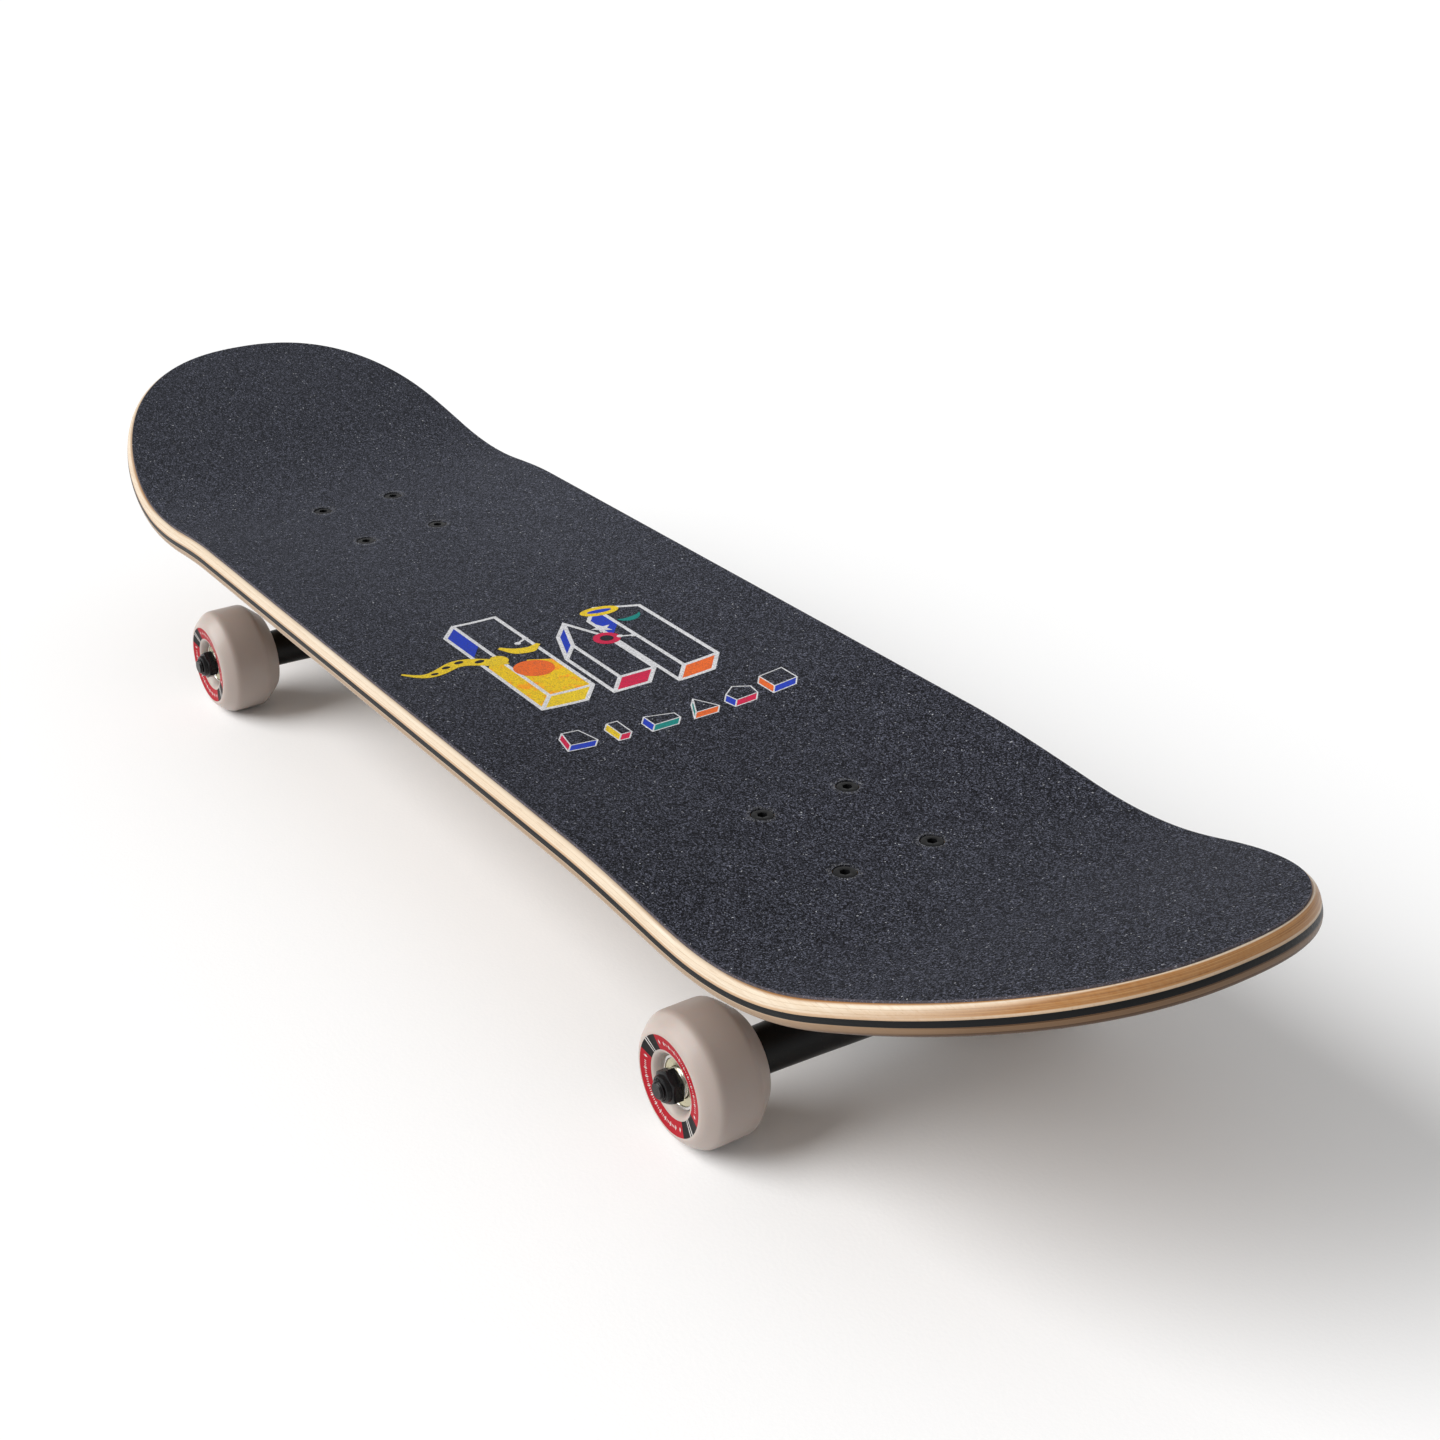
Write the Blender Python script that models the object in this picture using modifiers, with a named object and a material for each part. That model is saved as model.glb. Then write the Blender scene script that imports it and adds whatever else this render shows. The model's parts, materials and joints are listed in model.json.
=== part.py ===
"""Skateboard: a pressed maple deck with a grip sheet, two sprung trucks, four wheels and the hardware.

Metres, +Z up. The board stands on its wheels with the nose towards +X, and the origin is on the ground,
at the centre of the board's box. Each truck is modelled once about its own axle centre, with +X towards
its end of the deck, and is placed twice.
"""

import math

import bmesh
import bpy
from mathutils import Vector

MM = 0.001
GAP = 0.3 * MM  # between pieces that touch

# Deck
WHEELBASE = 362.0 * MM  # between the inner bolt holes of the two trucks
BOLT_PITCH_LONG = 53.975 * MM
BOLT_PITCH_WIDE = 41.275 * MM
OUTER_BOLT_X = WHEELBASE / 2 + BOLT_PITCH_LONG
GRIP_WIDTH = 198.0 * MM
GRIP_MARGIN = 2.5 * MM  # bare wood round the grip sheet
GRIP_THICKNESS = 0.7 * MM
DECK_THICKNESS = 10.9 * MM
DECK_EDGE_RADIUS = 3.0 * MM
CONCAVE_RISE = 7.6 * MM  # rail above the middle
CONCAVE_FLAT = 22.0 * MM  # half width of the flat middle
CONCAVE_POWER = 1.5

# Each end, measured along the surface from its outer bolt holes
NOSE = {
    "bend_start": 2.0 * MM,
    "bend_radius": 214.0 * MM,
    "bend_angle": 0.368,
    "length": 180.6 * MM,
    "curve_start": -12.5 * MM,  # where the outline leaves the parallel sides
    "outline_long": 2.5,
    "outline_wide": 2.3,
    "fade_start": -73.0 * MM,  # where the concave starts to flatten out
    "fade_end": 66.0 * MM,
}
TAIL = {
    "bend_start": 0.0,
    "bend_radius": 211.0 * MM,
    "bend_angle": 0.429,
    "length": 166.0 * MM,
    "curve_start": 17.9 * MM,
    "outline_long": 2.6,
    "outline_wide": 2.3,
    "fade_start": -38.0 * MM,
    "fade_end": 65.0 * MM,
}
# Grid lines of the deck: 0 is the middle, 1 the start of an end's outline, 2 its tip
LENGTH_LINES = (0, 0.4, 0.73, 0.87, 1, 1.08, 1.16, 1.24, 1.33, 1.43, 1.57, 1.72, 1.86, 1.95, 2)
WIDTH_LINES = (0.08, 0.222, 0.46, 0.69, 0.87, 1)  # shares of the half width

# Truck, about its axle
AXLE_HEIGHT = 27.5 * MM
AXLE_BEYOND_BOLTS = 48.5 * MM  # axle beyond the inner bolt holes
BOLT_CENTRE_X = BOLT_PITCH_LONG / 2 - AXLE_BEYOND_BOLTS
BASEPLATE_TOP = 56.9 * MM
GRIP_TOP = BASEPLATE_TOP + GAP + DECK_THICKNESS + GAP + GRIP_THICKNESS
FLANGE_THICKNESS = 5.0 * MM
FLANGE_FRONT = 31.0 * MM
FLANGE_BACK = -57.0 * MM
FLANGE_WIDTH = 56.0 * MM
RING_CENTRE = Vector((-30.0 * MM, 0, 10.0 * MM))  # where the kingpin crosses the steering axis
PIVOT_TIP = Vector((21.0 * MM, 0, 40.0 * MM))
KINGPIN_TILT = math.radians(28.0)  # from upright, its head leaning outwards
STEER_TILT = math.atan2(PIVOT_TIP.x - RING_CENTRE.x, PIVOT_TIP.z - RING_CENTRE.z)
ARM_TILT = math.radians(12.0)  # the hanger's arm, from upright towards the pivot

KINGPIN_RADIUS = 4.7 * MM
KINGPIN_END = -28.0 * MM  # places along the kingpin are measured from the ring's centre
KINGPIN_HEAD = 38.3 * MM
KINGPIN_HEAD_HEIGHT = 6.0 * MM
RING_HALF = 5.0 * MM
RING_RADIUS = 16.5 * MM
BUSHING_SEAT = 3.0 * MM
BUSHING_RADIUS = 11.0 * MM
UPPER_BUSHING_TOP = 17.6 * MM
LOWER_BUSHING_END = -16.0 * MM
WASHER_THICKNESS = 1.3 * MM
SEAT_PLANE = UPPER_BUSHING_TOP + WASHER_THICKNESS + 2 * GAP
KINGPIN_NUT_HEIGHT = 8.0 * MM
NOSE_RADIUS = 5.0 * MM  # rounded tip of the hanger's pivot
CUP_RADIUS = 7.8 * MM
CUP_MOUTH = -5.0 * MM  # places along the steering axis are measured from the pivot's tip
CUP_BACK = 7.0 * MM

HANGER_FACE = 67.5 * MM
AXLE_RADIUS = 3.95 * MM
AXLE_TIP = 102.0 * MM
AXLE_NUT_START = 93.3 * MM
AXLE_NUT_HEIGHT = 7.0 * MM

# Wheel, by its distance from the board's middle plane
WHEEL_RADIUS = 27.5 * MM
WHEEL_INNER_FACE = 64.2 * MM
WHEEL_OUTER_FACE = 96.5 * MM
WHEEL_STEPS = 30  # puts a flat of the tread straight down
BEARING_RADIUS = 11.0 * MM
BEARING_BORE = 4.2 * MM
BEARING_WIDTH = 7.0 * MM
INNER_BEARING_START = 68.3 * MM
OUTER_BEARING_START = 85.3 * MM

# Deck hardware
BOLT_RADIUS = 2.3 * MM
BOLT_HEAD_RADIUS = 4.6 * MM
BOLT_HEAD_DEPTH = 2.6 * MM
BOLT_LENGTH = 25.4 * MM
LOCK_NUT_HEIGHT = 5.5 * MM

COLOURS = {  # base colour, roughness, metallic
    "maple": ((0.74, 0.52, 0.31), 0.45, 0.0),
    "grip": ((0.03, 0.035, 0.05), 0.95, 0.0),
    "black_paint": ((0.02, 0.02, 0.022), 0.45, 0.0),
    "black_oxide": ((0.03, 0.03, 0.03), 0.4, 0.9),
    "steel": ((0.55, 0.55, 0.56), 0.3, 1.0),
    "urethane": ((0.83, 0.82, 0.78), 0.35, 0.0),
    "bushing": ((0.05, 0.05, 0.05), 0.5, 0.0),
}


def clear_scene():
    for obj in list(bpy.data.objects):
        bpy.data.objects.remove(obj, do_unlink=True)


def new_collection(name):
    collection = bpy.data.collections.new(name)
    bpy.context.scene.collection.children.link(collection)
    return collection


def new_material(name):
    colour, roughness, metallic = COLOURS[name]
    material = bpy.data.materials.new(name)
    material.use_nodes = True
    shader = material.node_tree.nodes["Principled BSDF"]
    shader.inputs["Base Color"].default_value = (*colour, 1.0)
    shader.inputs["Roughness"].default_value = roughness
    shader.inputs["Metallic"].default_value = metallic
    return material


clear_scene()
PARTS = new_collection("skateboard")
CUTTERS = new_collection("cutters")
MATERIALS = {name: new_material(name) for name in COLOURS}


def add_object(name, data, material, collection=PARTS):
    """Put mesh or curve data in the scene, as a part or, with no material, as a cutter."""
    obj = bpy.data.objects.new(name, data)
    collection.objects.link(obj)
    if material:
        data.materials.append(MATERIALS[material])
    else:
        obj.hide_render = True
        obj.display_type = "WIRE"
    return obj


def place(obj, parent, location=(0, 0, 0), rotation=(0, 0, 0)):
    obj.parent = parent
    obj.location = location
    obj.rotation_euler = rotation
    return obj


def turned(name, profile, steps, material=None):
    """Turn (radius, height) points about Z. They run down the outer side; a ring's profile closes."""
    mesh = bpy.data.meshes.new(name)
    count = len(profile)
    edges = [(i, i + 1) for i in range(count - 1)]
    if profile[0][0] > 0:
        edges.append((count - 1, 0))
    mesh.from_pydata([(radius, 0, height) for radius, height in profile], edges, [])
    obj = add_object(name, mesh, material, PARTS if material else CUTTERS)
    screw = obj.modifiers.new("turn", "SCREW")
    screw.steps = steps
    screw.render_steps = steps
    screw.use_merge_vertices = True
    screw.merge_threshold = 0.00001
    screw.use_smooth_shade = True
    return obj


def rod(name, radius, low, high, steps, material=None):
    return turned(name, [(0, high), (radius, high), (radius, low), (0, low)], steps, material)


def tube(name, bore, radius, low, high, steps, material=None):
    return turned(name, [(bore, high), (radius, high), (radius, low), (bore, low)], steps, material)


def block(name, low, high, corner=0.0, material=None, top_width=None):
    """A box between two corners, with its upright edges rounded or its top narrowed across."""
    bm = bmesh.new()
    bmesh.ops.create_cube(bm, size=1.0)
    low, high = Vector(low), Vector(high)
    for vert in bm.verts:
        share = vert.co + Vector((0.5, 0.5, 0.5))
        vert.co = low + Vector(a * b for a, b in zip(share, high - low))
        if top_width and share.z > 0.5:
            vert.co.y *= top_width / (high.y - low.y)
    if corner:
        upright = [e for e in bm.edges if abs(e.verts[0].co.z - e.verts[1].co.z) > GAP]
        bmesh.ops.bevel(bm, geom=upright, offset=corner, segments=3, profile=0.5, affect="EDGES")
    mesh = bpy.data.meshes.new(name)
    bm.to_mesh(mesh)
    bm.free()
    return add_object(name, mesh, material, PARTS if material else CUTTERS)


def hex_nut(name, across_flats, height, bore, material):
    """A flat outline, a hexagon with a round hole, with its thickness centred on its origin."""
    curve = bpy.data.curves.new(name, "CURVE")
    curve.dimensions = "2D"
    curve.fill_mode = "BOTH"
    curve.extrude = height / 2
    for corners, radius in ((6, across_flats / math.sqrt(3)), (12, bore)):
        spline = curve.splines.new("POLY")
        spline.points.add(corners - 1)
        spline.use_cyclic_u = True
        for i, point in enumerate(spline.points):
            angle = math.tau * i / corners
            point.co = (radius * math.cos(angle), radius * math.sin(angle), 0, 1)
    return add_object(name, curve, material)


def combine(target, other, operation="DIFFERENCE"):
    modifier = target.modifiers.new(other.name, "BOOLEAN")
    modifier.operation = operation
    modifier.solver = "EXACT"
    modifier.object = other


def smoothstep(share):
    share = min(max(share, 0.0), 1.0)
    return share * share * (3 - 2 * share)


def blank_point(line, share, margin):
    """A point of the flat blank: line runs from -2 at the tail's tip to 2 at the nose's tip."""
    end = NOSE if line > 0 else TAIL
    half_width = GRIP_WIDTH / 2 + margin
    straight = OUTER_BOLT_X + end["curve_start"]
    power = 2 / end["outline_wide"]
    across = math.copysign(abs(share) ** (1 / power), share)
    if abs(line) <= 1:
        return line * straight, half_width * share
    along = abs(line) - 1
    long_share = along * math.sqrt(1 - across * across / 2)
    wide_share = across * math.sqrt(1 - along * along / 2)
    reach = end["length"] - end["curve_start"] + margin
    x = straight + reach * long_share ** (2 / end["outline_long"])
    y = half_width * math.copysign(abs(wide_share) ** power, share)
    return math.copysign(x, line), y


def press(x, y):
    """Where the press puts a point of the flat blank: kicks along the board, concave across it."""
    end = NOSE if x > 0 else TAIL
    beyond = abs(x) - OUTER_BOLT_X
    radius, angle = end["bend_radius"], end["bend_angle"]
    bent = min(max(beyond - end["bend_start"], 0.0), radius * angle) / radius
    straight = max(beyond - end["bend_start"] - radius * angle, 0.0)
    run = min(abs(x), OUTER_BOLT_X + end["bend_start"]) + radius * math.sin(bent)
    run += straight * math.cos(angle)
    rise = radius * (1 - math.cos(bent)) + straight * math.sin(angle)
    span = end["fade_end"] - end["fade_start"]
    hold = 1 - smoothstep((beyond - end["fade_start"]) / span)
    side = max(abs(y) - CONCAVE_FLAT, 0.0) / (GRIP_WIDTH / 2 - CONCAVE_FLAT)
    rise += CONCAVE_RISE * hold * side**CONCAVE_POWER
    return math.copysign(run, x), y, rise


def pressed_sheet(name, margin, top, thickness, material):
    """A grid pressed to the deck's shape, with its upper face at the height top in the flat middle."""
    lines = [-line for line in reversed(LENGTH_LINES[1:])] + list(LENGTH_LINES)
    shares = [-share for share in reversed(WIDTH_LINES)] + list(WIDTH_LINES)
    bm = bmesh.new()
    bmesh.ops.create_grid(bm, x_segments=len(lines) - 1, y_segments=len(shares) - 1, size=0.5)
    for vert in bm.verts:
        line = lines[round((vert.co.x + 0.5) * (len(lines) - 1))]
        share = shares[round((vert.co.y + 0.5) * (len(shares) - 1))]
        vert.co = Vector(press(*blank_point(line, share, margin))) + Vector((0, 0, top))
    mesh = bpy.data.meshes.new(name)
    bm.to_mesh(mesh)
    bm.free()
    obj = add_object(name, mesh, material)
    solid = obj.modifiers.new("thickness", "SOLIDIFY")
    solid.thickness = thickness
    solid.offset = -1
    solid.use_even_offset = True
    return obj


def bolt_places():
    """Centres of the deck bolts, as (end name, number, x, y)."""
    places = []
    for end, sign in (("front", 1), ("rear", -1)):
        number = 0
        for x in (OUTER_BOLT_X, OUTER_BOLT_X - BOLT_PITCH_LONG):
            for y in (BOLT_PITCH_WIDE / 2, -BOLT_PITCH_WIDE / 2):
                number += 1
                places.append((end, number, sign * x, sign * y))
    return places


def build_deck(root):
    grip_top = AXLE_HEIGHT + GRIP_TOP
    deck_top = grip_top - GRIP_THICKNESS - GAP
    grip = pressed_sheet("grip_tape", 0.0, grip_top, GRIP_THICKNESS, "grip")
    deck = pressed_sheet("deck", GRIP_MARGIN, deck_top, DECK_THICKNESS, "maple")
    edge = deck.modifiers.new("edge", "BEVEL")
    edge.width = DECK_EDGE_RADIUS
    edge.segments = 2
    edge.limit_method = "ANGLE"
    edge.angle_limit = math.radians(50)
    for sheet in (grip, deck):
        place(sheet, root)
    for end, number, x, y in bolt_places():
        hole = turned(
            f"hole_{end}_{number}",
            [
                (0, 4 * MM),
                (BOLT_HEAD_RADIUS + GAP, 4 * MM),
                (BOLT_HEAD_RADIUS + GAP, -GAP),
                (BOLT_RADIUS + GAP, -BOLT_HEAD_DEPTH - GAP),
                (BOLT_RADIUS + GAP, -20 * MM),
                (0, -20 * MM),
            ],
            12,
        )
        place(hole, root, (x, y, grip_top))
        combine(grip, hole)
        combine(deck, hole)
    return deck


def build_hardware(root):
    """Countersunk deck bolts with hexagon sockets, and their lock nuts under the baseplates."""
    head_top = AXLE_HEIGHT + GRIP_TOP - 0.1 * MM
    nut_centre = AXLE_HEIGHT + BASEPLATE_TOP - FLANGE_THICKNESS - GAP - LOCK_NUT_HEIGHT / 2
    for end, number, x, y in bolt_places():
        bolt = turned(
            f"deck_bolt_{end}_{number}",
            [
                (0, 0),
                (BOLT_HEAD_RADIUS, 0),
                (BOLT_RADIUS, -BOLT_HEAD_DEPTH),
                (BOLT_RADIUS, -BOLT_LENGTH),
                (0, -BOLT_LENGTH),
            ],
            12,
            "black_oxide",
        )
        place(bolt, root, (x, y, head_top))
        socket = rod(f"socket_{end}_{number}", 1.85 * MM, -1.9 * MM, 1 * MM, 6)
        place(socket, root, (x, y, head_top))
        combine(bolt, socket)
        nut = hex_nut(
            f"lock_nut_{end}_{number}", 9.5 * MM, LOCK_NUT_HEIGHT, BOLT_RADIUS + GAP, "black_oxide"
        )
        place(nut, root, (x, y, nut_centre))


def on_kingpin(obj, truck, along=0.0):
    """Stand a piece on the kingpin's axis, at a distance above the ring's centre."""
    axis = Vector((math.sin(KINGPIN_TILT), 0, math.cos(KINGPIN_TILT)))
    return place(obj, truck, RING_CENTRE + along * axis, (0, KINGPIN_TILT, 0))


def on_steer_axis(obj, truck):
    return place(obj, truck, PIVOT_TIP, (0, STEER_TILT, 0))


def build_baseplate(end, truck):
    plate = block(
        f"{end}_baseplate",
        (FLANGE_BACK, -FLANGE_WIDTH / 2, BASEPLATE_TOP - FLANGE_THICKNESS),
        (FLANGE_FRONT, FLANGE_WIDTH / 2, BASEPLATE_TOP),
        corner=8 * MM,
        material="black_paint",
    )
    place(plate, truck)
    kingpin_boss = turned(
        f"{end}_kingpin_boss",
        [(0, 60 * MM), (13 * MM, 60 * MM), (11.5 * MM, SEAT_PLANE), (0, SEAT_PLANE)],
        20,
    )
    on_kingpin(kingpin_boss, truck)
    pivot_boss = rod(f"{end}_pivot_boss", 11.5 * MM, CUP_MOUTH - GAP, CUP_BACK + 2 * MM, 20)
    on_steer_axis(pivot_boss, truck)
    link = block(
        f"{end}_pivot_link",
        (18 * MM, -11 * MM, 43 * MM),
        (29 * MM, 11 * MM, BASEPLATE_TOP - 1 * MM),
    )
    place(link, truck)
    for piece in (kingpin_boss, link, pivot_boss):
        combine(plate, piece, "UNION")
    deck_side = block(
        f"{end}_deck_side",
        (FLANGE_BACK - 9 * MM, -40 * MM, BASEPLATE_TOP),
        (FLANGE_FRONT + 9 * MM, 40 * MM, BASEPLATE_TOP + 30 * MM),
    )
    place(deck_side, truck)
    kingpin_hole = rod(f"{end}_kingpin_hole", KINGPIN_RADIUS + GAP, 0, 70 * MM, 16)
    head_pocket = rod(f"{end}_head_pocket", 9 * MM, KINGPIN_HEAD - GAP, 75 * MM, 20)
    for cut in (kingpin_hole, head_pocket):
        on_kingpin(cut, truck)
    cup_hole = rod(f"{end}_cup_hole", CUP_RADIUS + GAP, CUP_MOUTH - 9 * MM, CUP_BACK + GAP, 20)
    on_steer_axis(cup_hole, truck)
    for cut in (deck_side, kingpin_hole, head_pocket, cup_hole):
        combine(plate, cut)
    for number, (long, wide) in enumerate(((1, 1), (1, -1), (-1, 1), (-1, -1))):
        hole = rod(f"{end}_plate_hole_{number}", BOLT_RADIUS + GAP, 40 * MM, 70 * MM, 12)
        x = BOLT_CENTRE_X + long * BOLT_PITCH_LONG / 2
        place(hole, truck, (x, wide * BOLT_PITCH_WIDE / 2, 0))
        combine(plate, hole)


def build_kingpin_stack(end, truck):
    """Kingpin, nut, washers and bushings, all on the kingpin's axis."""
    kingpin = turned(
        f"{end}_kingpin",
        [
            (0, KINGPIN_HEAD + KINGPIN_HEAD_HEIGHT),
            (7.5 * MM, KINGPIN_HEAD + KINGPIN_HEAD_HEIGHT),
            (7.5 * MM, KINGPIN_HEAD),
            (KINGPIN_RADIUS, KINGPIN_HEAD),
            (KINGPIN_RADIUS, KINGPIN_END),
            (0, KINGPIN_END),
        ],
        16,
        "steel",
    )
    on_kingpin(kingpin, truck)
    bore = KINGPIN_RADIUS + GAP
    upper_washer = UPPER_BUSHING_TOP + GAP
    washer = tube(
        f"{end}_upper_washer", bore, 10.8 * MM, upper_washer, upper_washer + WASHER_THICKNESS, 16, "steel"
    )
    on_kingpin(washer, truck)
    seat = BUSHING_SEAT + GAP
    bushing = turned(
        f"{end}_upper_bushing",
        [
            (bore, UPPER_BUSHING_TOP),
            (BUSHING_RADIUS - 1 * MM, UPPER_BUSHING_TOP),
            (BUSHING_RADIUS, UPPER_BUSHING_TOP - 1 * MM),
            (BUSHING_RADIUS, seat),
            (bore, seat),
        ],
        16,
        "bushing",
    )
    on_kingpin(bushing, truck)
    bushing = turned(
        f"{end}_lower_bushing",
        [
            (bore, -seat),
            (BUSHING_RADIUS, -seat),
            (BUSHING_RADIUS, -seat - 3 * MM),
            (9 * MM, LOWER_BUSHING_END),
            (bore, LOWER_BUSHING_END),
        ],
        16,
        "bushing",
    )
    on_kingpin(bushing, truck)
    lower_washer = LOWER_BUSHING_END - GAP
    washer = tube(
        f"{end}_lower_washer", bore, 9.5 * MM, lower_washer - WASHER_THICKNESS, lower_washer, 16, "steel"
    )
    on_kingpin(washer, truck)
    nut = hex_nut(f"{end}_kingpin_nut", 14.3 * MM, KINGPIN_NUT_HEIGHT, bore + 0.1 * MM, "steel")
    nut_top = lower_washer - WASHER_THICKNESS - GAP
    on_kingpin(nut, truck, nut_top - KINGPIN_NUT_HEIGHT / 2)


def build_pivot_cup(end, truck):
    inner = NOSE_RADIUS + 0.4 * MM
    floor = NOSE_RADIUS + 0.5 * MM
    cup = turned(
        f"{end}_pivot_cup",
        [
            (0, CUP_BACK),
            (CUP_RADIUS, CUP_BACK),
            (CUP_RADIUS, CUP_MOUTH),
            (inner, CUP_MOUTH),
            (inner, floor),
            (0, floor),
        ],
        16,
        "bushing",
    )
    on_steer_axis(cup, truck)


def build_hanger(end, truck):
    """A barrel round the axle, a yoke ring for the bushings and an arm up to the pivot."""
    half_barrel = [
        (8.6, HANGER_FACE / MM),
        (9.5, HANGER_FACE / MM - 2),
        (9.7, 42),
        (12.5, 22),
        (13.0, 10),
    ]
    barrel = [(0, HANGER_FACE)]
    barrel += [(radius * MM, height * MM) for radius, height in half_barrel]
    barrel += [(radius * MM, -height * MM) for radius, height in reversed(half_barrel)]
    barrel += [(0, -HANGER_FACE)]
    hanger = turned(f"{end}_hanger_barrel", barrel, 16)
    place(hanger, truck, (0, 0, 0), (-math.pi / 2, 0, 0))
    arm = block(
        f"{end}_arm",
        (-5.5 * MM, -14 * MM, 0),
        (5.5 * MM, 14 * MM, 33 * MM),
        top_width=14 * MM,
    )
    place(arm, truck, (0, 0, 0), (0, ARM_TILT, 0))
    pivot = turned(
        f"{end}_pivot",
        [(0, NOSE_RADIUS)]
        + [
            (NOSE_RADIUS * math.cos(math.radians(a)), NOSE_RADIUS * math.sin(math.radians(a)))
            for a in (60, 30, 0)
        ]
        + [(NOSE_RADIUS, -6 * MM), (7.0 * MM, -16 * MM), (0, -18 * MM)],
        16,
    )
    on_steer_axis(pivot, truck)
    web = block(
        f"{end}_web",
        (4 * MM, -14 * MM, -RING_HALF),
        (33 * MM, 14 * MM, RING_HALF),
    )
    on_kingpin(web, truck)
    # The ring carries the node's name, and its origin is where the steering axis meets the kingpin.
    ring = rod(f"{end}_hanger", RING_RADIUS, -RING_HALF, RING_HALF, 24, "black_paint")
    on_kingpin(ring, truck)
    for piece in (web, hanger, arm, pivot):
        combine(ring, piece, "UNION")
    axle_bore = rod(f"{end}_axle_bore", AXLE_RADIUS + GAP, -80 * MM, 80 * MM, 16)
    place(axle_bore, truck, (0, 0, 0), (-math.pi / 2, 0, 0))
    kingpin_bore = rod(f"{end}_ring_bore", 6 * MM, -15 * MM, 15 * MM, 20)
    upper_seat = rod(f"{end}_upper_seat", BUSHING_RADIUS + 0.4 * MM, BUSHING_SEAT, 19 * MM, 24)
    lower_seat = rod(f"{end}_lower_seat", BUSHING_RADIUS + 0.4 * MM, -19 * MM, -BUSHING_SEAT, 24)
    for cut in (kingpin_bore, upper_seat, lower_seat):
        on_kingpin(cut, truck)
    for cut in (axle_bore, kingpin_bore, upper_seat, lower_seat):
        combine(ring, cut)


def build_wheel(end, side, sign, truck):
    """A wheel with its bearings, spacer and axle nut, along the axle on one side of the truck."""
    name = f"{end}_{side}"
    turn = (-sign * math.pi / 2, 0, 0)
    tread = WHEEL_RADIUS / math.cos(math.pi / WHEEL_STEPS)
    seat = BEARING_RADIUS + 0.25 * MM
    rib = 8.5 * MM
    wheel = turned(
        f"{name}_wheel",
        [
            (seat, WHEEL_OUTER_FACE - 2.5 * MM),
            (14.0 * MM, WHEEL_OUTER_FACE),
            (22.5 * MM, WHEEL_OUTER_FACE),
            (tread, 89.7 * MM),
            (tread, 72.4 * MM),
            (20.2 * MM, WHEEL_INNER_FACE),
            (13.5 * MM, WHEEL_INNER_FACE),
            (seat, WHEEL_INNER_FACE + 2.5 * MM),
            (seat, INNER_BEARING_START + BEARING_WIDTH + GAP),
            (rib, INNER_BEARING_START + BEARING_WIDTH + GAP),
            (rib, OUTER_BEARING_START - GAP),
            (seat, OUTER_BEARING_START - GAP),
        ],
        WHEEL_STEPS,
        "urethane",
    )
    place(wheel, truck, (0, 0, 0), turn)
    for which, start in (("inner", INNER_BEARING_START), ("outer", OUTER_BEARING_START)):
        bearing = tube(
            f"{name}_{which}_bearing",
            BEARING_BORE,
            BEARING_RADIUS,
            start,
            start + BEARING_WIDTH,
            WHEEL_STEPS,
            "steel",
        )
        place(bearing, truck, (0, 0, 0), turn)
    spacer = tube(
        f"{name}_bearing_spacer",
        AXLE_RADIUS + GAP,
        5.5 * MM,
        INNER_BEARING_START + BEARING_WIDTH + GAP,
        OUTER_BEARING_START - GAP,
        12,
        "steel",
    )
    place(spacer, truck, (0, 0, 0), turn)
    nut = hex_nut(f"{name}_axle_nut", 12.7 * MM, AXLE_NUT_HEIGHT, AXLE_RADIUS + 0.4 * MM, "black_oxide")
    nut_y = sign * (AXLE_NUT_START + AXLE_NUT_HEIGHT / 2)
    place(nut, truck, (0, nut_y, 0), turn)


def build_truck(end, sign, root):
    truck = bpy.data.objects.new(f"{end}_truck", None)
    PARTS.objects.link(truck)
    axle_x = WHEELBASE / 2 + AXLE_BEYOND_BOLTS
    place(truck, root, (sign * axle_x, 0, AXLE_HEIGHT), (0, 0, 0 if sign > 0 else math.pi))
    build_baseplate(end, truck)
    build_kingpin_stack(end, truck)
    build_pivot_cup(end, truck)
    build_hanger(end, truck)
    axle = rod(f"{end}_axle", AXLE_RADIUS, -AXLE_TIP, AXLE_TIP, 16, "steel")
    place(axle, truck, (0, 0, 0), (-math.pi / 2, 0, 0))
    for side, side_sign in (("left", 1), ("right", -1)):
        build_wheel(end, side, side_sign * sign, truck)


def centre_on_box(root, deck):
    """Move the board so that its longest piece, the deck, is centred on the origin along X."""
    bpy.context.view_layer.update()
    graph = bpy.context.evaluated_depsgraph_get()
    corners = [Vector(corner).x for corner in deck.evaluated_get(graph).bound_box]
    root.location.x = -(min(corners) + max(corners)) / 2


def main():
    root = bpy.data.objects.new("board", None)
    PARTS.objects.link(root)
    deck = build_deck(root)
    build_hardware(root)
    build_truck("front", 1, root)
    build_truck("rear", -1, root)
    centre_on_box(root, deck)


main()
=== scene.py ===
# %% [markdown]
# # A street skateboard
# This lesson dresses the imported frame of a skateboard: a pressed maple deck with a printed grip sheet, two
# cast trucks that steer on urethane bushings, four wheels on ball bearings, and the bolts that hold it all.
# The frame says where each part is and which body it moves with. Here each part gets its fine shape and its
# finish.

# %% Load the frame
import json
import math

import bmesh
import bpy
import numpy as np
from mathutils import Matrix, Vector
from mathutils.bvhtree import BVHTree
from mathutils.kdtree import KDTree

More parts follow.
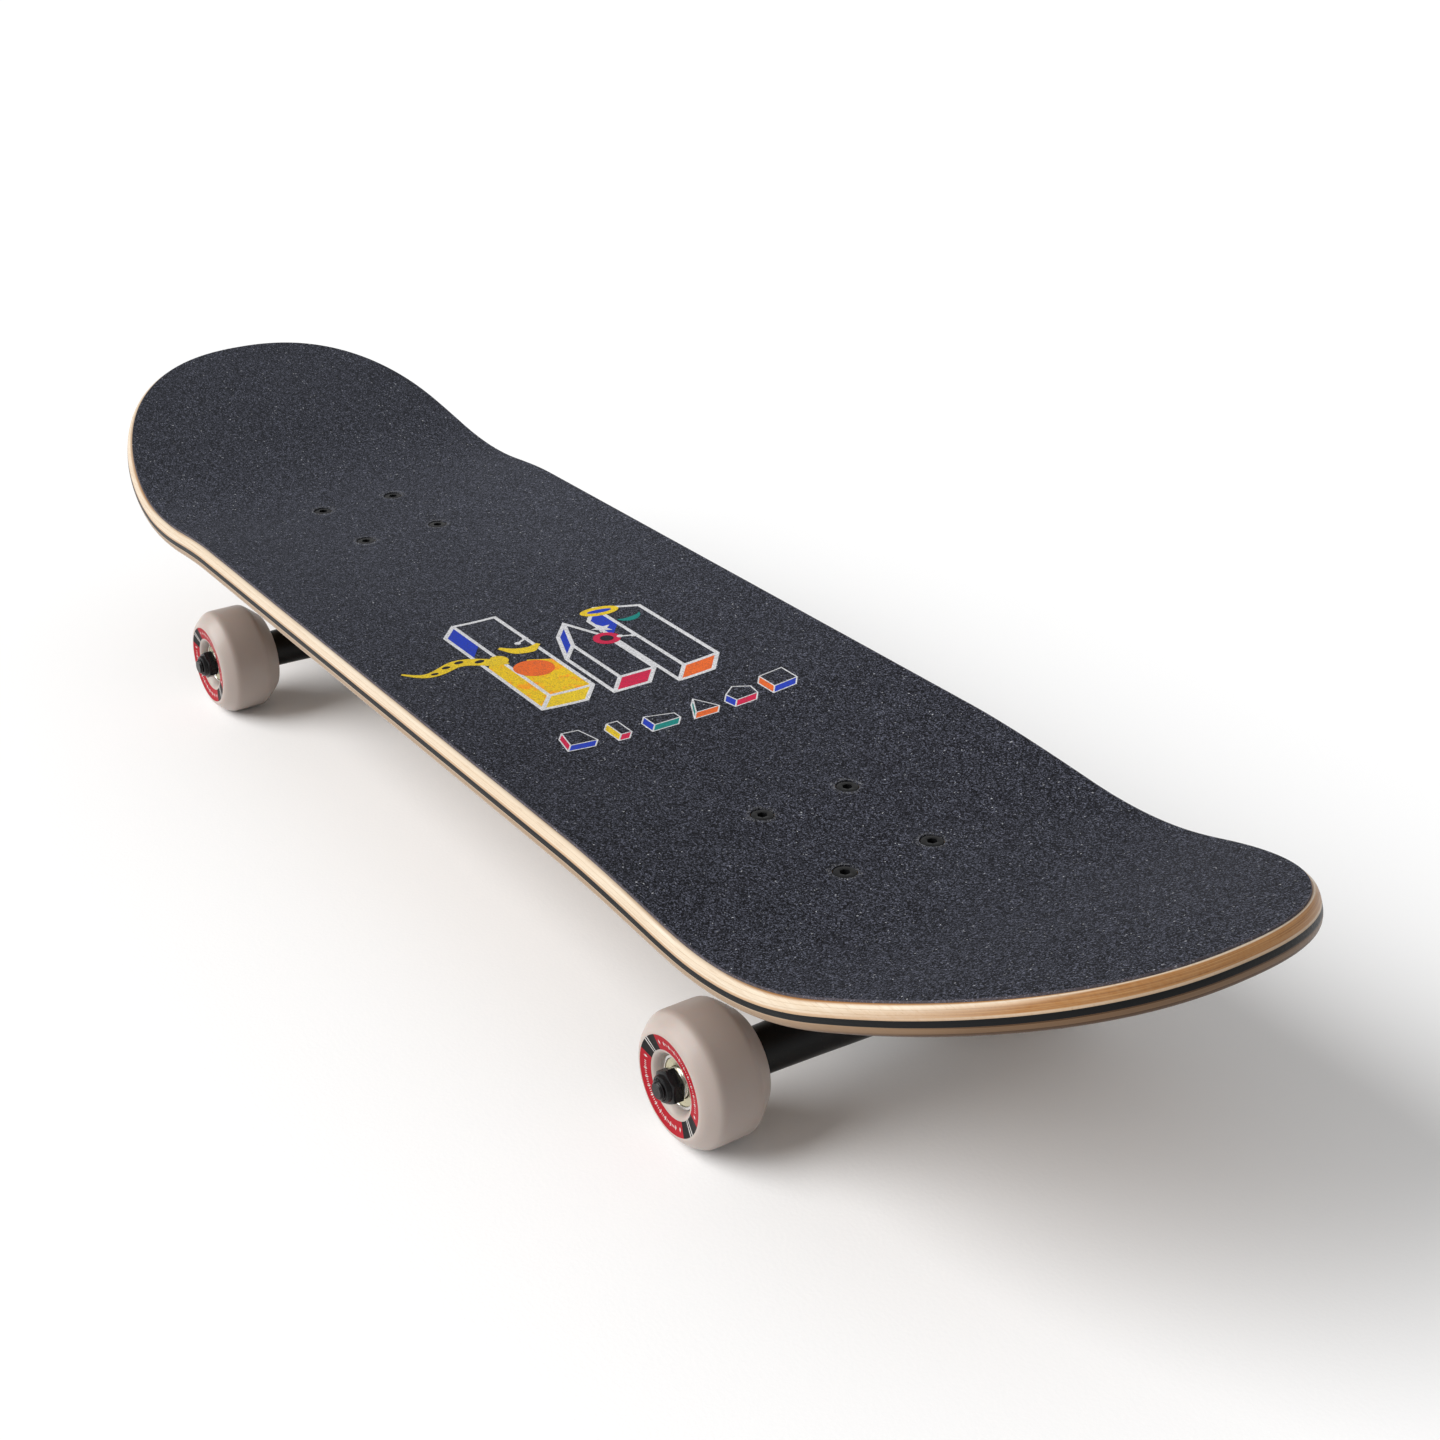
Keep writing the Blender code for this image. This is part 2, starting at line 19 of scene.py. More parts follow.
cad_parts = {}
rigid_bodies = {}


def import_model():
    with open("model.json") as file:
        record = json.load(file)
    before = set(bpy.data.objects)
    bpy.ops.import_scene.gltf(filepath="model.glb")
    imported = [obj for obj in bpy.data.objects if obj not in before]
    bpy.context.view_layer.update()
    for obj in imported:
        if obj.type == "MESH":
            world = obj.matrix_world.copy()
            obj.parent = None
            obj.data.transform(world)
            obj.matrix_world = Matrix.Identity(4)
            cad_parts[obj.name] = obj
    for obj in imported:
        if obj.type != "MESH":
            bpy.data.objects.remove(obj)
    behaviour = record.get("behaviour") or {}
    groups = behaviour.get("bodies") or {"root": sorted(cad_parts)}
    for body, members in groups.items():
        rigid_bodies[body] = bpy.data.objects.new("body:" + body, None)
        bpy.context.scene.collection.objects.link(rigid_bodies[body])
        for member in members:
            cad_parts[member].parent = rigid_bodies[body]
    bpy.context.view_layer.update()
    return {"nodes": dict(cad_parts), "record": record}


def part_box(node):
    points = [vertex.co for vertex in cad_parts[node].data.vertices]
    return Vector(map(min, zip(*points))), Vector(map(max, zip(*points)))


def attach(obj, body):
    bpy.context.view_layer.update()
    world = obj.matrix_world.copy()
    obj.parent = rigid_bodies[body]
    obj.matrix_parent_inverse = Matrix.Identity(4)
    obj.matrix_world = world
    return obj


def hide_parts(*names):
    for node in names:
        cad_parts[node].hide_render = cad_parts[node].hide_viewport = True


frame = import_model()
MM = 0.001
ENDS = {"front": 1, "rear": -1}

# %% [markdown]
# ## Hand tools
# Everything is modelled with the tools a person would use in the viewport. A few short functions keep the
# steps readable: one clears the selection, one turns a round piece by extruding a circle ring by ring, one
# softens its corners, and one cuts or joins two pieces. Heights and radii are in millimetres.


# %% Selecting and finishing
def deselect_all():
    if bpy.context.object and bpy.context.object.mode != "OBJECT":
        bpy.ops.object.mode_set(mode="OBJECT")
    bpy.ops.object.select_all(action="DESELECT")


def pick(obj):
    deselect_all()
    obj.select_set(True)
    bpy.context.view_layer.objects.active = obj
    return obj


def apply_modifier(obj, kind, **settings):
    pick(obj)
    modifier = obj.modifiers.new(kind.lower(), kind)
    for key, value in settings.items():
        setattr(modifier, key, value)
    bpy.ops.object.modifier_apply(modifier=modifier.name)
    return obj


def smooth(obj, angle=32):
    pick(obj)
    bpy.ops.object.shade_smooth_by_angle(angle=math.radians(angle))
    return obj


def soften(obj, width, segments=3, angle=32):
    """Round every edge sharper than an angle, then shade the piece smooth."""
    apply_modifier(
        obj,
        "BEVEL",
        width=width * MM,
        segments=segments,
        limit_method="ANGLE",
        angle_limit=math.radians(angle),
    )
    return smooth(obj)


# %% Turning, cutting and placing
def turn(name, profile, sides=72):
    """Extrude a circle down a list of (radius, height). A ring's first and last points are the same."""
    deselect_all()
    radius, height = profile[0]
    bpy.ops.mesh.primitive_circle_add(vertices=sides, radius=radius * MM, location=(0, 0, height * MM))
    obj = bpy.context.object
    obj.name = name
    bpy.ops.object.transform_apply(location=True)
    bpy.ops.object.mode_set(mode="EDIT")
    for (radius, height), (new_radius, new_height) in zip(profile, profile[1:]):
        step = (0, 0, (new_height - height) * MM)
        bpy.ops.mesh.extrude_edges_move(TRANSFORM_OT_translate={"value": step})
        ratio = new_radius / radius
        bpy.ops.transform.resize(value=(ratio, ratio, 1), center_override=(0, 0, 0))
    bpy.ops.mesh.select_all(action="SELECT")
    bpy.ops.mesh.remove_doubles(threshold=0.000001)
    bpy.ops.mesh.fill_holes(sides=0)
    bpy.ops.mesh.normals_make_consistent(inside=False)
    bpy.ops.object.mode_set(mode="OBJECT")
    return obj


def prism(name, corners, radius, low, high):
    """An upright bar with a regular outline; its radius reaches the corners."""
    deselect_all()
    bpy.ops.mesh.primitive_cylinder_add(
        vertices=corners,
        radius=radius * MM,
        depth=(high - low) * MM,
        location=(0, 0, (low + high) / 2 * MM),
    )
    obj = bpy.context.object
    obj.name = name
    bpy.ops.object.transform_apply(location=True)
    return obj


def block(name, low, high):
    """A box between two corners in millimetres."""
    deselect_all()
    low, high = Vector(low) * MM, Vector(high) * MM
    bpy.ops.mesh.primitive_cube_add(size=1, location=(low + high) / 2, scale=high - low)
    obj = bpy.context.object
    obj.name = name
    bpy.ops.object.transform_apply(location=True, rotation=True, scale=True)
    return obj


def combine(obj, tool, operation="DIFFERENCE"):
    apply_modifier(obj, "BOOLEAN", operation=operation, solver="EXACT", object=tool)
    bpy.data.objects.remove(tool)
    return obj


def join(name, pieces):
    deselect_all()
    for piece in pieces:
        piece.select_set(True)
    bpy.context.view_layer.objects.active = pieces[0]
    bpy.ops.object.join()
    pieces[0].name = name
    return pieces[0]


def move(obj, matrix):
    obj.data.transform(matrix)
    return obj


def copy_piece(obj, name, matrix=Matrix()):
    """A copy with its own mesh, moved by a matrix."""
    new = obj.copy()
    new.data = obj.data.copy()
    new.name = name
    bpy.context.scene.collection.objects.link(new)
    return move(new, matrix)


def dress(obj, material, slot, body, *nodes):
    """Give a piece its finish, its body and the frame's nodes that it stands for."""
    if material:
        obj.data.materials.clear()
        obj.data.materials.append(material)
    if nodes:
        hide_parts(*nodes)
    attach(obj, body)
    return obj


# %% [markdown]
# ## Building materials from nodes
# A material here is a Principled shader with colour, roughness and bump from procedural textures, so it has
# no edges or seams and can be looked at from as near as you like. The helper below makes nodes and links them
# in one call: a value that is a socket gets linked, and any other value is set on the socket itself.


# %% Node helpers
def add_node(tree, kind, inputs=None, **settings):
    node = tree.nodes.new("ShaderNode" + kind)
    for key, value in settings.items():
        setattr(node, key, value)
    for key, value in (inputs or {}).items():
        if isinstance(value, bpy.types.NodeSocket):
            tree.links.new(value, node.inputs[key])
        else:
            node.inputs[key].default_value = value
    return node


def use_group(tree, group, inputs):
    return add_node(tree, "Group", inputs, node_tree=group)


def attribute(tree, name):
    """A value that is stored on the points of a piece."""
    return add_node(tree, "Attribute", attribute_name=name, attribute_type="GEOMETRY").outputs["Fac"]


def maths(tree, operation, first, second=0.0):
    return add_node(tree, "Math", {0: first, 1: second}, operation=operation).outputs[0]


def between(tree, value, low, high, to_low=0.0, to_high=1.0):
    """Stretch a value so that low gives to_low and high gives to_high, and nothing goes past them."""
    inputs = {"Value": value, "From Min": low, "From Max": high, "To Min": to_low, "To Max": to_high}
    return add_node(tree, "MapRange", inputs).outputs[0]


def blend_colours(tree, share, first, second, mode="MIX"):
    mix = add_node(tree, "Mix", {0: share, 6: first, 7: second}, data_type="RGBA", blend_type=mode)
    return mix.outputs[2]


def stretch(tree, place, scale):
    return add_node(tree, "Mapping", {"Vector": place, "Scale": scale}).outputs[0]


def noise(tree, place, scale, detail=2.0):
    inputs = {"Vector": place, "Scale": scale, "Detail": detail}
    return add_node(tree, "TexNoise", inputs).outputs["Fac"]


def new_group(name, inputs, outputs):
    """An empty node group with named inputs and outputs, given as (socket type, name, default)."""
    tree = bpy.data.node_groups.new(name, "ShaderNodeTree")
    for kind, label, default in inputs:
        socket = tree.interface.new_socket(label, in_out="INPUT", socket_type="NodeSocket" + kind)
        if default is not None:
            socket.default_value = default
    for kind, label in outputs:
        tree.interface.new_socket(label, in_out="OUTPUT", socket_type="NodeSocket" + kind)
    return tree, tree.nodes.new("NodeGroupInput"), tree.nodes.new("NodeGroupOutput")


def new_material(name, **constants):
    """A Principled material. Returns it with its node tree, its shader and its Object coordinates."""
    material = bpy.data.materials.new(name)
    material.use_nodes = True
    tree = material.node_tree
    shader = tree.nodes["Principled BSDF"]
    for key, value in constants.items():
        shader.inputs[key.replace("_", " ")].default_value = value
    place = add_node(tree, "TexCoord").outputs["Object"]
    return material, tree, shader, place


def bump(tree, shader, height, distance, strength=1.0):
    inputs = {"Height": height, "Distance": distance, "Strength": strength}
    normal = add_node(tree, "Bump", inputs).outputs["Normal"]
    tree.links.new(normal, shader.inputs["Normal"])


# %% [markdown]
# ## Effects that several materials share
# Three groups are built once and used again and again. Grit packs small sharp grains side by side, each with
# its own brightness. Grain draws out fibres along the board. Handling gives any hard surface a soft cloud of
# smudges and a few fine scratches, which is what makes metal and plastic look used and not computed.


# %% Grit, grain and handling
def build_grit():
    tree, given, made = new_group(
        "grit",
        [("Vector", "Place", None), ("Float", "Grains per metre", 2400.0)],
        [("Float", "Brightness"), ("Float", "Sparkle"), ("Float", "Height")],
    )
    place, scale = given.outputs[0], given.outputs[1]
    grains = add_node(tree, "TexVoronoi", {"Vector": place, "Scale": scale})
    coarse_scale = maths(tree, "MULTIPLY", scale, 0.62)
    coarse = add_node(tree, "TexVoronoi", {"Vector": place, "Scale": coarse_scale})
    random = add_node(tree, "SeparateColor", {0: grains.outputs["Color"]})
    coarse_random = add_node(tree, "SeparateColor", {0: coarse.outputs["Color"]})
    mixed = maths(tree, "MULTIPLY", random.outputs[0], coarse_random.outputs[0])
    tree.links.new(maths(tree, "POWER", mixed, 1.6), made.inputs["Brightness"])
    spark = between(tree, coarse_random.outputs[1], 0.991, 0.997)
    spark = maths(tree, "MULTIPLY", spark, between(tree, random.outputs[1], 0.45, 0.7))
    tree.links.new(spark, made.inputs["Sparkle"])
    height = maths(tree, "SUBTRACT", 1.0, grains.outputs["Distance"])
    height = maths(tree, "MULTIPLY", height, random.outputs[2])
    tree.links.new(height, made.inputs["Height"])
    return tree


def build_grain():
    tree, given, made = new_group(
        "wood_grain",
        [("Vector", "Place", None), ("Float", "Fibre width", 1.0)],
        [("Float", "Figure"), ("Float", "Fibres"), ("Float", "Pores")],
    )
    place = given.outputs[0]
    finer = maths(tree, "DIVIDE", 1.0, given.outputs[1])
    wavy = add_node(tree, "TexNoise", {"Vector": stretch(tree, place, (3, 9, 9)), "Scale": 1.0})
    sway = {0: wavy.outputs["Color"], 1: (0.02, 0.006, 0.006)}
    offset = add_node(tree, "VectorMath", sway, operation="MULTIPLY")
    bent = add_node(tree, "VectorMath", {0: place, 1: offset.outputs[0]}, operation="ADD").outputs[0]
    figure = noise(tree, stretch(tree, bent, (4, 60, 60)), 1.0, 3.0)
    fibres = noise(tree, stretch(tree, bent, (14, 900, 900)), finer, 4.0)
    pores = noise(tree, stretch(tree, bent, (90, 2600, 2600)), finer, 1.0)
    tree.links.new(figure, made.inputs["Figure"])
    tree.links.new(fibres, made.inputs["Fibres"])
    tree.links.new(between(tree, pores, 0.62, 0.75), made.inputs["Pores"])
    return tree


def build_handling():
    tree, given, made = new_group(
        "handling",
        [("Vector", "Place", None), ("Float", "Size", 1.0)],
        [("Float", "Smudges"), ("Float", "Scratches"), ("Float", "Height")],
    )
    place = given.outputs[0]
    sized = maths(tree, "DIVIDE", 60.0, given.outputs[1])
    smudges = noise(tree, place, sized, 4.0)
    tree.links.new(between(tree, smudges, 0.35, 0.7), made.inputs["Smudges"])
    along = noise(tree, stretch(tree, place, (1, 9, 26)), maths(tree, "MULTIPLY", sized, 2.2), 2.0)
    across = noise(tree, stretch(tree, place, (22, 8, 1)), maths(tree, "MULTIPLY", sized, 2.6), 2.0)
    scratch = maths(tree, "MAXIMUM", between(tree, along, 0.68, 0.74), between(tree, across, 0.69, 0.75))
    tree.links.new(scratch, made.inputs["Scratches"])
    peel = noise(tree, place, maths(tree, "MULTIPLY", sized, 22.0), 2.0)
    tree.links.new(peel, made.inputs["Height"])
    return tree


GRIT = build_grit()
GRAIN = build_grain()
HANDLING = build_handling()
print("node groups:", [group.name for group in (GRIT, GRAIN, HANDLING)])

# %% [markdown]
# ## The shape of the press
# A deck is glued up from flat veneers in a press, so it is described the same way: a flat blank with round
# ends, and a rule that says where the press lifts each point. The kicks bend along a circle and run on
# straight. The concave lifts both rails and fades out towards the tips. The numbers are the deck's own.

# %% Deck sizes, in millimetres
WHEELBASE = 362.0
BOLT_PITCH_LONG = 53.975
BOLT_PITCH_WIDE = 41.275
OUTER_BOLT = WHEELBASE / 2 + BOLT_PITCH_LONG
GRIP_HALF = 99.0
MARGIN = 2.5
DECK_THICKNESS = 10.9
CONCAVE_RISE, CONCAVE_FLAT, CONCAVE_POWER = 7.6, 22.0, 1.5
NOSE = dict(bend=2.0, radius=214.0, angle=0.368, length=180.6, start=-12.5, long=2.5, fade=(-73.0, 66.0))
TAIL = dict(bend=0.0, radius=211.0, angle=0.429, length=165.9, start=17.9, long=2.6, fade=(-38.0, 65.0))
OUTLINE_WIDE = 2.3
AXLES = {end: sum(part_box(f"{end}_axle"), Vector()) / 2 for end in ENDS}
MIDDLE_X = (AXLES["front"].x + AXLES["rear"].x) / 2 / MM
GRIP_TOP = frame["record"]["mounts"][0]["pos_m"][2] / MM
DECK_TOP = GRIP_TOP - 1.0


# %% The blank and the press
def blank(lines, shares, margin):
    """Flat places on the blank: lines run from -2 at the tail's tip to 2 at the nose's, shares across it."""
    x, y = np.empty_like(lines), np.empty_like(lines)
    power = 2 / OUTLINE_WIDE
    across = np.sign(shares) * np.abs(shares) ** (1 / power)
    for end, side in ((NOSE, lines > 0), (TAIL, lines <= 0)):
        straight = OUTER_BOLT + end["start"]
        along = np.clip(np.abs(lines) - 1, 0, None)
        long_share = along * np.sqrt(1 - across**2 / 2)
        wide_share = across * np.sqrt(1 - along**2 / 2)
        reach = end["length"] - end["start"] + margin
        run = np.minimum(np.abs(lines), 1) * straight + reach * long_share ** (2 / end["long"])
        x[side] = (np.sign(lines) * run)[side]
        y[side] = ((GRIP_HALF + margin) * np.sign(shares) * np.abs(wide_share) ** power)[side]
    return x, y


def press(x, y):
    """Lift flat places, measured from the middle between the trucks, into the pressed shape."""
    run, rise = np.empty_like(x), np.empty_like(x)
    for end, side in ((NOSE, x > 0), (TAIL, x <= 0)):
        beyond = np.abs(x) - OUTER_BOLT
        radius, angle = end["radius"], end["angle"]
        bent = np.clip(beyond - end["bend"], 0, radius * angle) / radius
        straight = np.clip(beyond - end["bend"] - radius * angle, 0, None)
        out = np.minimum(np.abs(x), OUTER_BOLT + end["bend"]) + radius * np.sin(bent)
        up = radius * (1 - np.cos(bent)) + straight * math.sin(angle)
        start, stop = end["fade"]
        fade = np.clip((beyond - start) / (stop - start), 0, 1)
        hold = 1 - fade * fade * (3 - 2 * fade)
        rail = np.clip(np.abs(y) - CONCAVE_FLAT, 0, None) / (GRIP_HALF - CONCAVE_FLAT)
        run[side] = (np.sign(x) * (out + straight * math.cos(angle)))[side]
        rise[side] = (up + CONCAVE_RISE * hold * rail**CONCAVE_POWER)[side]
    return run, y, rise


def crowd(values):
    """Keep -1, 0 and 1 where they are, and draw the places between them towards the ends."""
    reach = 0.9 * math.pi / 2
    return np.sin(values * reach) / math.sin(reach)


def pressed_points(u, v, margin, top):
    """Row-frame points in metres for grid places u and v, each from -1 to 1."""
    lines = np.where(np.abs(u) < 0.5, 2 * u, np.sign(u) * (1 + crowd(2 * np.abs(u) - 1)))
    x, y = blank(lines, crowd(v), margin)
    x, y, z = press(x, y)
    return np.stack([x + MIDDLE_X, y, z + top], axis=1) * MM


def pressed_sheet(name, margin, top, long_cuts=240, wide_cuts=60):
    """A grid primitive whose points are pressed into shape. Returns it with its grid places."""
    deselect_all()
    bpy.ops.mesh.primitive_grid_add(x_subdivisions=long_cuts, y_subdivisions=wide_cuts, size=2)
    obj = bpy.context.object
    obj.name = name
    flat = np.empty(len(obj.data.vertices) * 3)
    obj.data.vertices.foreach_get("co", flat)
    u, v = flat[0::3], flat[1::3]
    obj.data.vertices.foreach_set("co", pressed_points(u, v, margin, top).ravel())
    obj.data.update()
    return obj, u, v


def surface_height(x, y):
    """Height of the grip sheet's face above a place between the trucks, in millimetres."""
    return press(np.asarray(x) - MIDDLE_X, np.asarray(y))[2] + GRIP_TOP


# %% [markdown]
# ## Bolt holes
# Eight bolts go through the grip sheet and the deck. The cutters for their holes are turned once and copied
# to the places of the frame's bolts, then joined, so that each sheet is cut in a single step.

# %% Hole cutters
BOLTS = sorted(name for name in frame["nodes"] if name.startswith("deck_bolt"))


def bolt_centre(node):
    low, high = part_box(node)
    return Vector(((low.x + high.x) / 2, (low.y + high.y) / 2, high.z))


def hole_cutters(name, profile):
    tool = turn(name, profile, 48)
    copies = [copy_piece(tool, name, Matrix.Translation(bolt_centre(node))) for node in BOLTS]
    bpy.data.objects.remove(tool)
    return join(name, copies)


print("bolts:", len(BOLTS))

# %% [markdown]
# ## The deck
# The real deck is seven maple veneers glued under pressure, cut to its outline and routed round. The grid
# becomes a solid with Solidify. Then the thin wall round its rim is cut into bands, and each band is pushed
# out along an oval, so the edge has the full, hand-sanded round of the real one and no hard corner.

# %% Press the deck
deck, grid_u, grid_v = pressed_sheet("deck_body", 0.0, DECK_TOP)
rim = np.flatnonzero(np.maximum(np.abs(grid_u), np.abs(grid_v)) > 0.999)
inner_rim = pressed_points(grid_u[rim], grid_v[rim], 0.0, DECK_TOP)
outward = pressed_points(grid_u[rim], grid_v[rim], MARGIN, DECK_TOP) - inner_rim
sheet_points = len(deck.data.vertices)
apply_modifier(deck, "SOLIDIFY", thickness=DECK_THICKNESS * MM, offset=-1, use_even_offset=True)

# %% Round the rim
RIM_BANDS = 12
RIM_POWER = 0.8


def round_rim(obj):
    bm = bmesh.new()
    bm.from_mesh(obj.data)
    bm.verts.ensure_lookup_table()
    on_rim = set(rim)
    upright = [
        e
        for e in bm.edges
        if {e.verts[0].index, e.verts[1].index} & on_rim
        and abs(e.verts[0].index - e.verts[1].index) == sheet_points
    ]
    low = {min(v.index for v in e.verts): max(e.verts, key=lambda v: v.index).co.copy() for e in upright}
    bmesh.ops.subdivide_edges(bm, edges=upright, cuts=RIM_BANDS - 1, use_grid_fill=False)
    places = KDTree(len(rim) * (RIM_BANDS - 1))
    targets = []
    for number, index in enumerate(rim):
        top, bottom = Vector(inner_rim[number]), low[index]
        for band in range(1, RIM_BANDS):
            angle = math.pi * band / RIM_BANDS
            down = math.copysign(abs(math.cos(angle)) ** RIM_POWER, math.cos(angle))
            push = math.sin(angle) ** RIM_POWER
            target = top.lerp(bottom, (1 - down) / 2) + Vector(outward[number]) * push
            places.insert(top.lerp(bottom, band / RIM_BANDS), len(targets))
            targets.append(target)
    places.balance()
    for vert in bm.verts:
        if vert.index >= 2 * sheet_points or vert.index < 0:
            vert.co = targets[places.find(vert.co)[1]]
    bmesh.ops.recalc_face_normals(bm, faces=bm.faces)
    bm.to_mesh(obj.data)
    bm.free()


round_rim(deck)
HOLE_RADIUS = 2.75
combine(
    deck,
    hole_cutters("deck_holes", [(5.4, 1), (5.4, -1.0), (HOLE_RADIUS, -3.4), (HOLE_RADIUS, -20)]),
)
smooth(deck, 40)
print("deck faces:", len(deck.data.polygons))

# %% [markdown]
# ## Which veneer shows where
# At the rim you see all seven veneers as stripes. A stripe has to follow the bent board, so each point of
# the deck stores how deep it lies below the top face. A copy of the pressed sheet, made a little too large,
# is the ruler: the depth is the distance to it. The material reads this attribute to choose the veneer.

# %% Measure the depth below the top face
ruler, _, _ = pressed_sheet("ruler", 14.0, DECK_TOP)
ruler_mesh = bmesh.new()
ruler_mesh.from_mesh(ruler.data)
ruler_tree = BVHTree.FromBMesh(ruler_mesh)
ruler_mesh.free()
bpy.data.objects.remove(ruler)
depth = [ruler_tree.find_nearest(vert.co)[3] / (DECK_THICKNESS * MM) for vert in deck.data.vertices]
deck.data.attributes.new("ply_depth", "FLOAT", "POINT").data.foreach_set("value", depth)
print("deepest point of the deck:", round(max(depth) * DECK_THICKNESS, 2), "mm")

# %% [markdown]
# ## Maple
# The veneers are pale where the fibres run along the surface and warm brown where they are cut across, as at
# the tips. So the colour depends on which way the rim faces: its normal has no X along the sides and much X
# at the ends. The tail's rim is sanded paler. The third and sixth veneers lie partly crosswise, so there the
# two kinds of grain change places.


# %% Where the fibres are cut across
SANDED_TAIL = (-0.36, -0.28)  # along the board in metres, from fully sanded to not at all


def end_grain(tree, place):
    """1 where the rim faces along the board, and 0 along its sides and on the flat faces."""
    normal = add_node(tree, "SeparateXYZ", {0: add_node(tree, "TexCoord").outputs["Normal"]})
    lengthwise, sideways = (maths(tree, "ABSOLUTE", normal.outputs[axis]) for axis in (0, 1))
    outward = maths(tree, "ADD", maths(tree, "ADD", lengthwise, sideways), 0.001)
    cut = between(tree, maths(tree, "DIVIDE", lengthwise, outward), 0.08, 0.4)
    cut = maths(tree, "MULTIPLY", cut, between(tree, outward, 0.15, 0.4))
    run = add_node(tree, "SeparateXYZ", {0: place}).outputs[0]
    return maths(tree, "MULTIPLY", cut, between(tree, run, *SANDED_TAIL, 0.35, 1.0))


def swap_crosswise(tree, end_on, plies):
    """Exchange the two kinds of grain in the veneers that lie partly crosswise."""
    third = between(tree, plies, 2.5, 2.6, 0.0, 0.6)
    third = maths(tree, "MULTIPLY", third, maths(tree, "LESS_THAN", plies, 3.3))
    sixth = maths(tree, "MULTIPLY", maths(tree, "COMPARE", maths(tree, "FLOOR", plies), 5.0), 0.25)
    side_on = maths(tree, "SUBTRACT", 1.0, end_on)
    inputs = {0: maths(tree, "ADD", third, sixth), 2: end_on, 3: side_on}
    return add_node(tree, "Mix", inputs, data_type="FLOAT").outputs[0]


# %% [markdown]
# ## Bare wood
# Side on, maple is cream with a soft figure. End on it is brown, and the sanded layers show as streaks along
# the rim: a noise that is long along the board and short through its depth. Fibres and pores tint both.


# %% Bare wood
def bare_wood(tree, place, layer, grain, end_on):
    figure = grain.outputs["Figure"]
    pale = blend_colours(tree, figure, (0.70, 0.615, 0.50, 1), (0.60, 0.485, 0.35, 1))
    brown = blend_colours(tree, figure, (0.40, 0.19, 0.064, 1), (0.30, 0.125, 0.036, 1))
    axes = add_node(tree, "SeparateXYZ", {0: place})
    along = [maths(tree, "MULTIPLY", axes.outputs[axis], 22.0) for axis in (0, 1)]
    seam = {0: along[0], 1: along[1], 2: maths(tree, "MULTIPLY", layer, 30.0)}
    streaks = noise(tree, add_node(tree, "CombineXYZ", seam).outputs[0], 1.0, 3.0)
    brown = blend_colours(tree, between(tree, streaks, 0.5, 0.72, 0, 0.6), brown, (0.17, 0.062, 0.02, 1))
    brown = blend_colours(tree, between(tree, streaks, 0.5, 0.3, 0, 0.5), brown, (0.56, 0.33, 0.14, 1))
    wood = blend_colours(tree, end_on, pale, brown)
    fibres = between(tree, grain.outputs["Fibres"], 0.3, 0.7, 0.0, 0.3)
    wood = blend_colours(tree, fibres, wood, (0.44, 0.27, 0.13, 1))
    pores = between(tree, grain.outputs["Pores"], 0, 1, 0, 0.3)
    return blend_colours(tree, pores, wood, (0.30, 0.17, 0.075, 1))


# %% [markdown]
# ## Veneers, glue and lacquer
# The depth attribute, times seven, counts the veneers. Two are dyed black, those below them are darker, and
# thin dark glue lines part the others. Lacquer lies on top as a coat, except on the dyed edge, which is matt.

# %% Maple material
PLIES = 7.0
DYED_VENEERS = (0.45, 0.67)  # shares of the thickness, from the top
DYE_EDGE = 0.006


def build_maple():
    material, tree, shader, place = new_material(
        "maple_plies", Roughness=0.42, Coat_Roughness=0.22, Specular_IOR_Level=0.2
    )
    wobble = noise(tree, stretch(tree, place, (30, 30, 30)), 1.0, 2.0)
    layer = maths(tree, "ADD", attribute(tree, "ply_depth"), between(tree, wobble, 0, 1, -0.006, 0.006))
    plies = maths(tree, "MULTIPLY", layer, PLIES)
    grain = use_group(tree, GRAIN, {"Place": place, "Fibre width": 1.0})
    end_on = swap_crosswise(tree, end_grain(tree, place), plies)
    wood = bare_wood(tree, place, layer, grain, end_on)
    top, bottom = DYED_VENEERS
    lower = maths(tree, "GREATER_THAN", layer, bottom)
    lower = maths(tree, "MULTIPLY", lower, between(tree, end_on, 0, 1, 0.6, 0.95))
    stain = blend_colours(tree, end_on, (0.26, 0.155, 0.08, 1), (0.055, 0.026, 0.011, 1))
    wood = blend_colours(tree, lower, wood, stain)
    from_joint = maths(tree, "ABSOLUTE", maths(tree, "SUBTRACT", maths(tree, "FRACT", plies), 0.5))
    glue = between(tree, from_joint, 0.455, 0.49, 0.0, 0.55)
    wood = blend_colours(tree, glue, wood, (0.22, 0.12, 0.05, 1))
    dyed = between(tree, layer, top - DYE_EDGE, top + DYE_EDGE)
    dyed = maths(tree, "MULTIPLY", dyed, between(tree, layer, bottom - DYE_EDGE, bottom + DYE_EDGE, 1, 0))
    wood = blend_colours(tree, dyed, wood, (0.002, 0.0022, 0.0026, 1))
    tree.links.new(wood, shader.inputs["Base Color"])
    rough = between(tree, grain.outputs["Fibres"], 0.3, 0.7, 0.36, 0.5)
    tree.links.new(rough, shader.inputs["Roughness"])
    tree.links.new(between(tree, dyed, 0, 1, 0.15, 0.0), shader.inputs["Coat Weight"])
    height = maths(tree, "ADD", grain.outputs["Fibres"], maths(tree, "MULTIPLY", glue, -0.6))
    bump(tree, shader, height, 0.00006)
    return material


MAPLE = build_maple()
dress(deck, MAPLE, "deck_maple", "board", "deck")

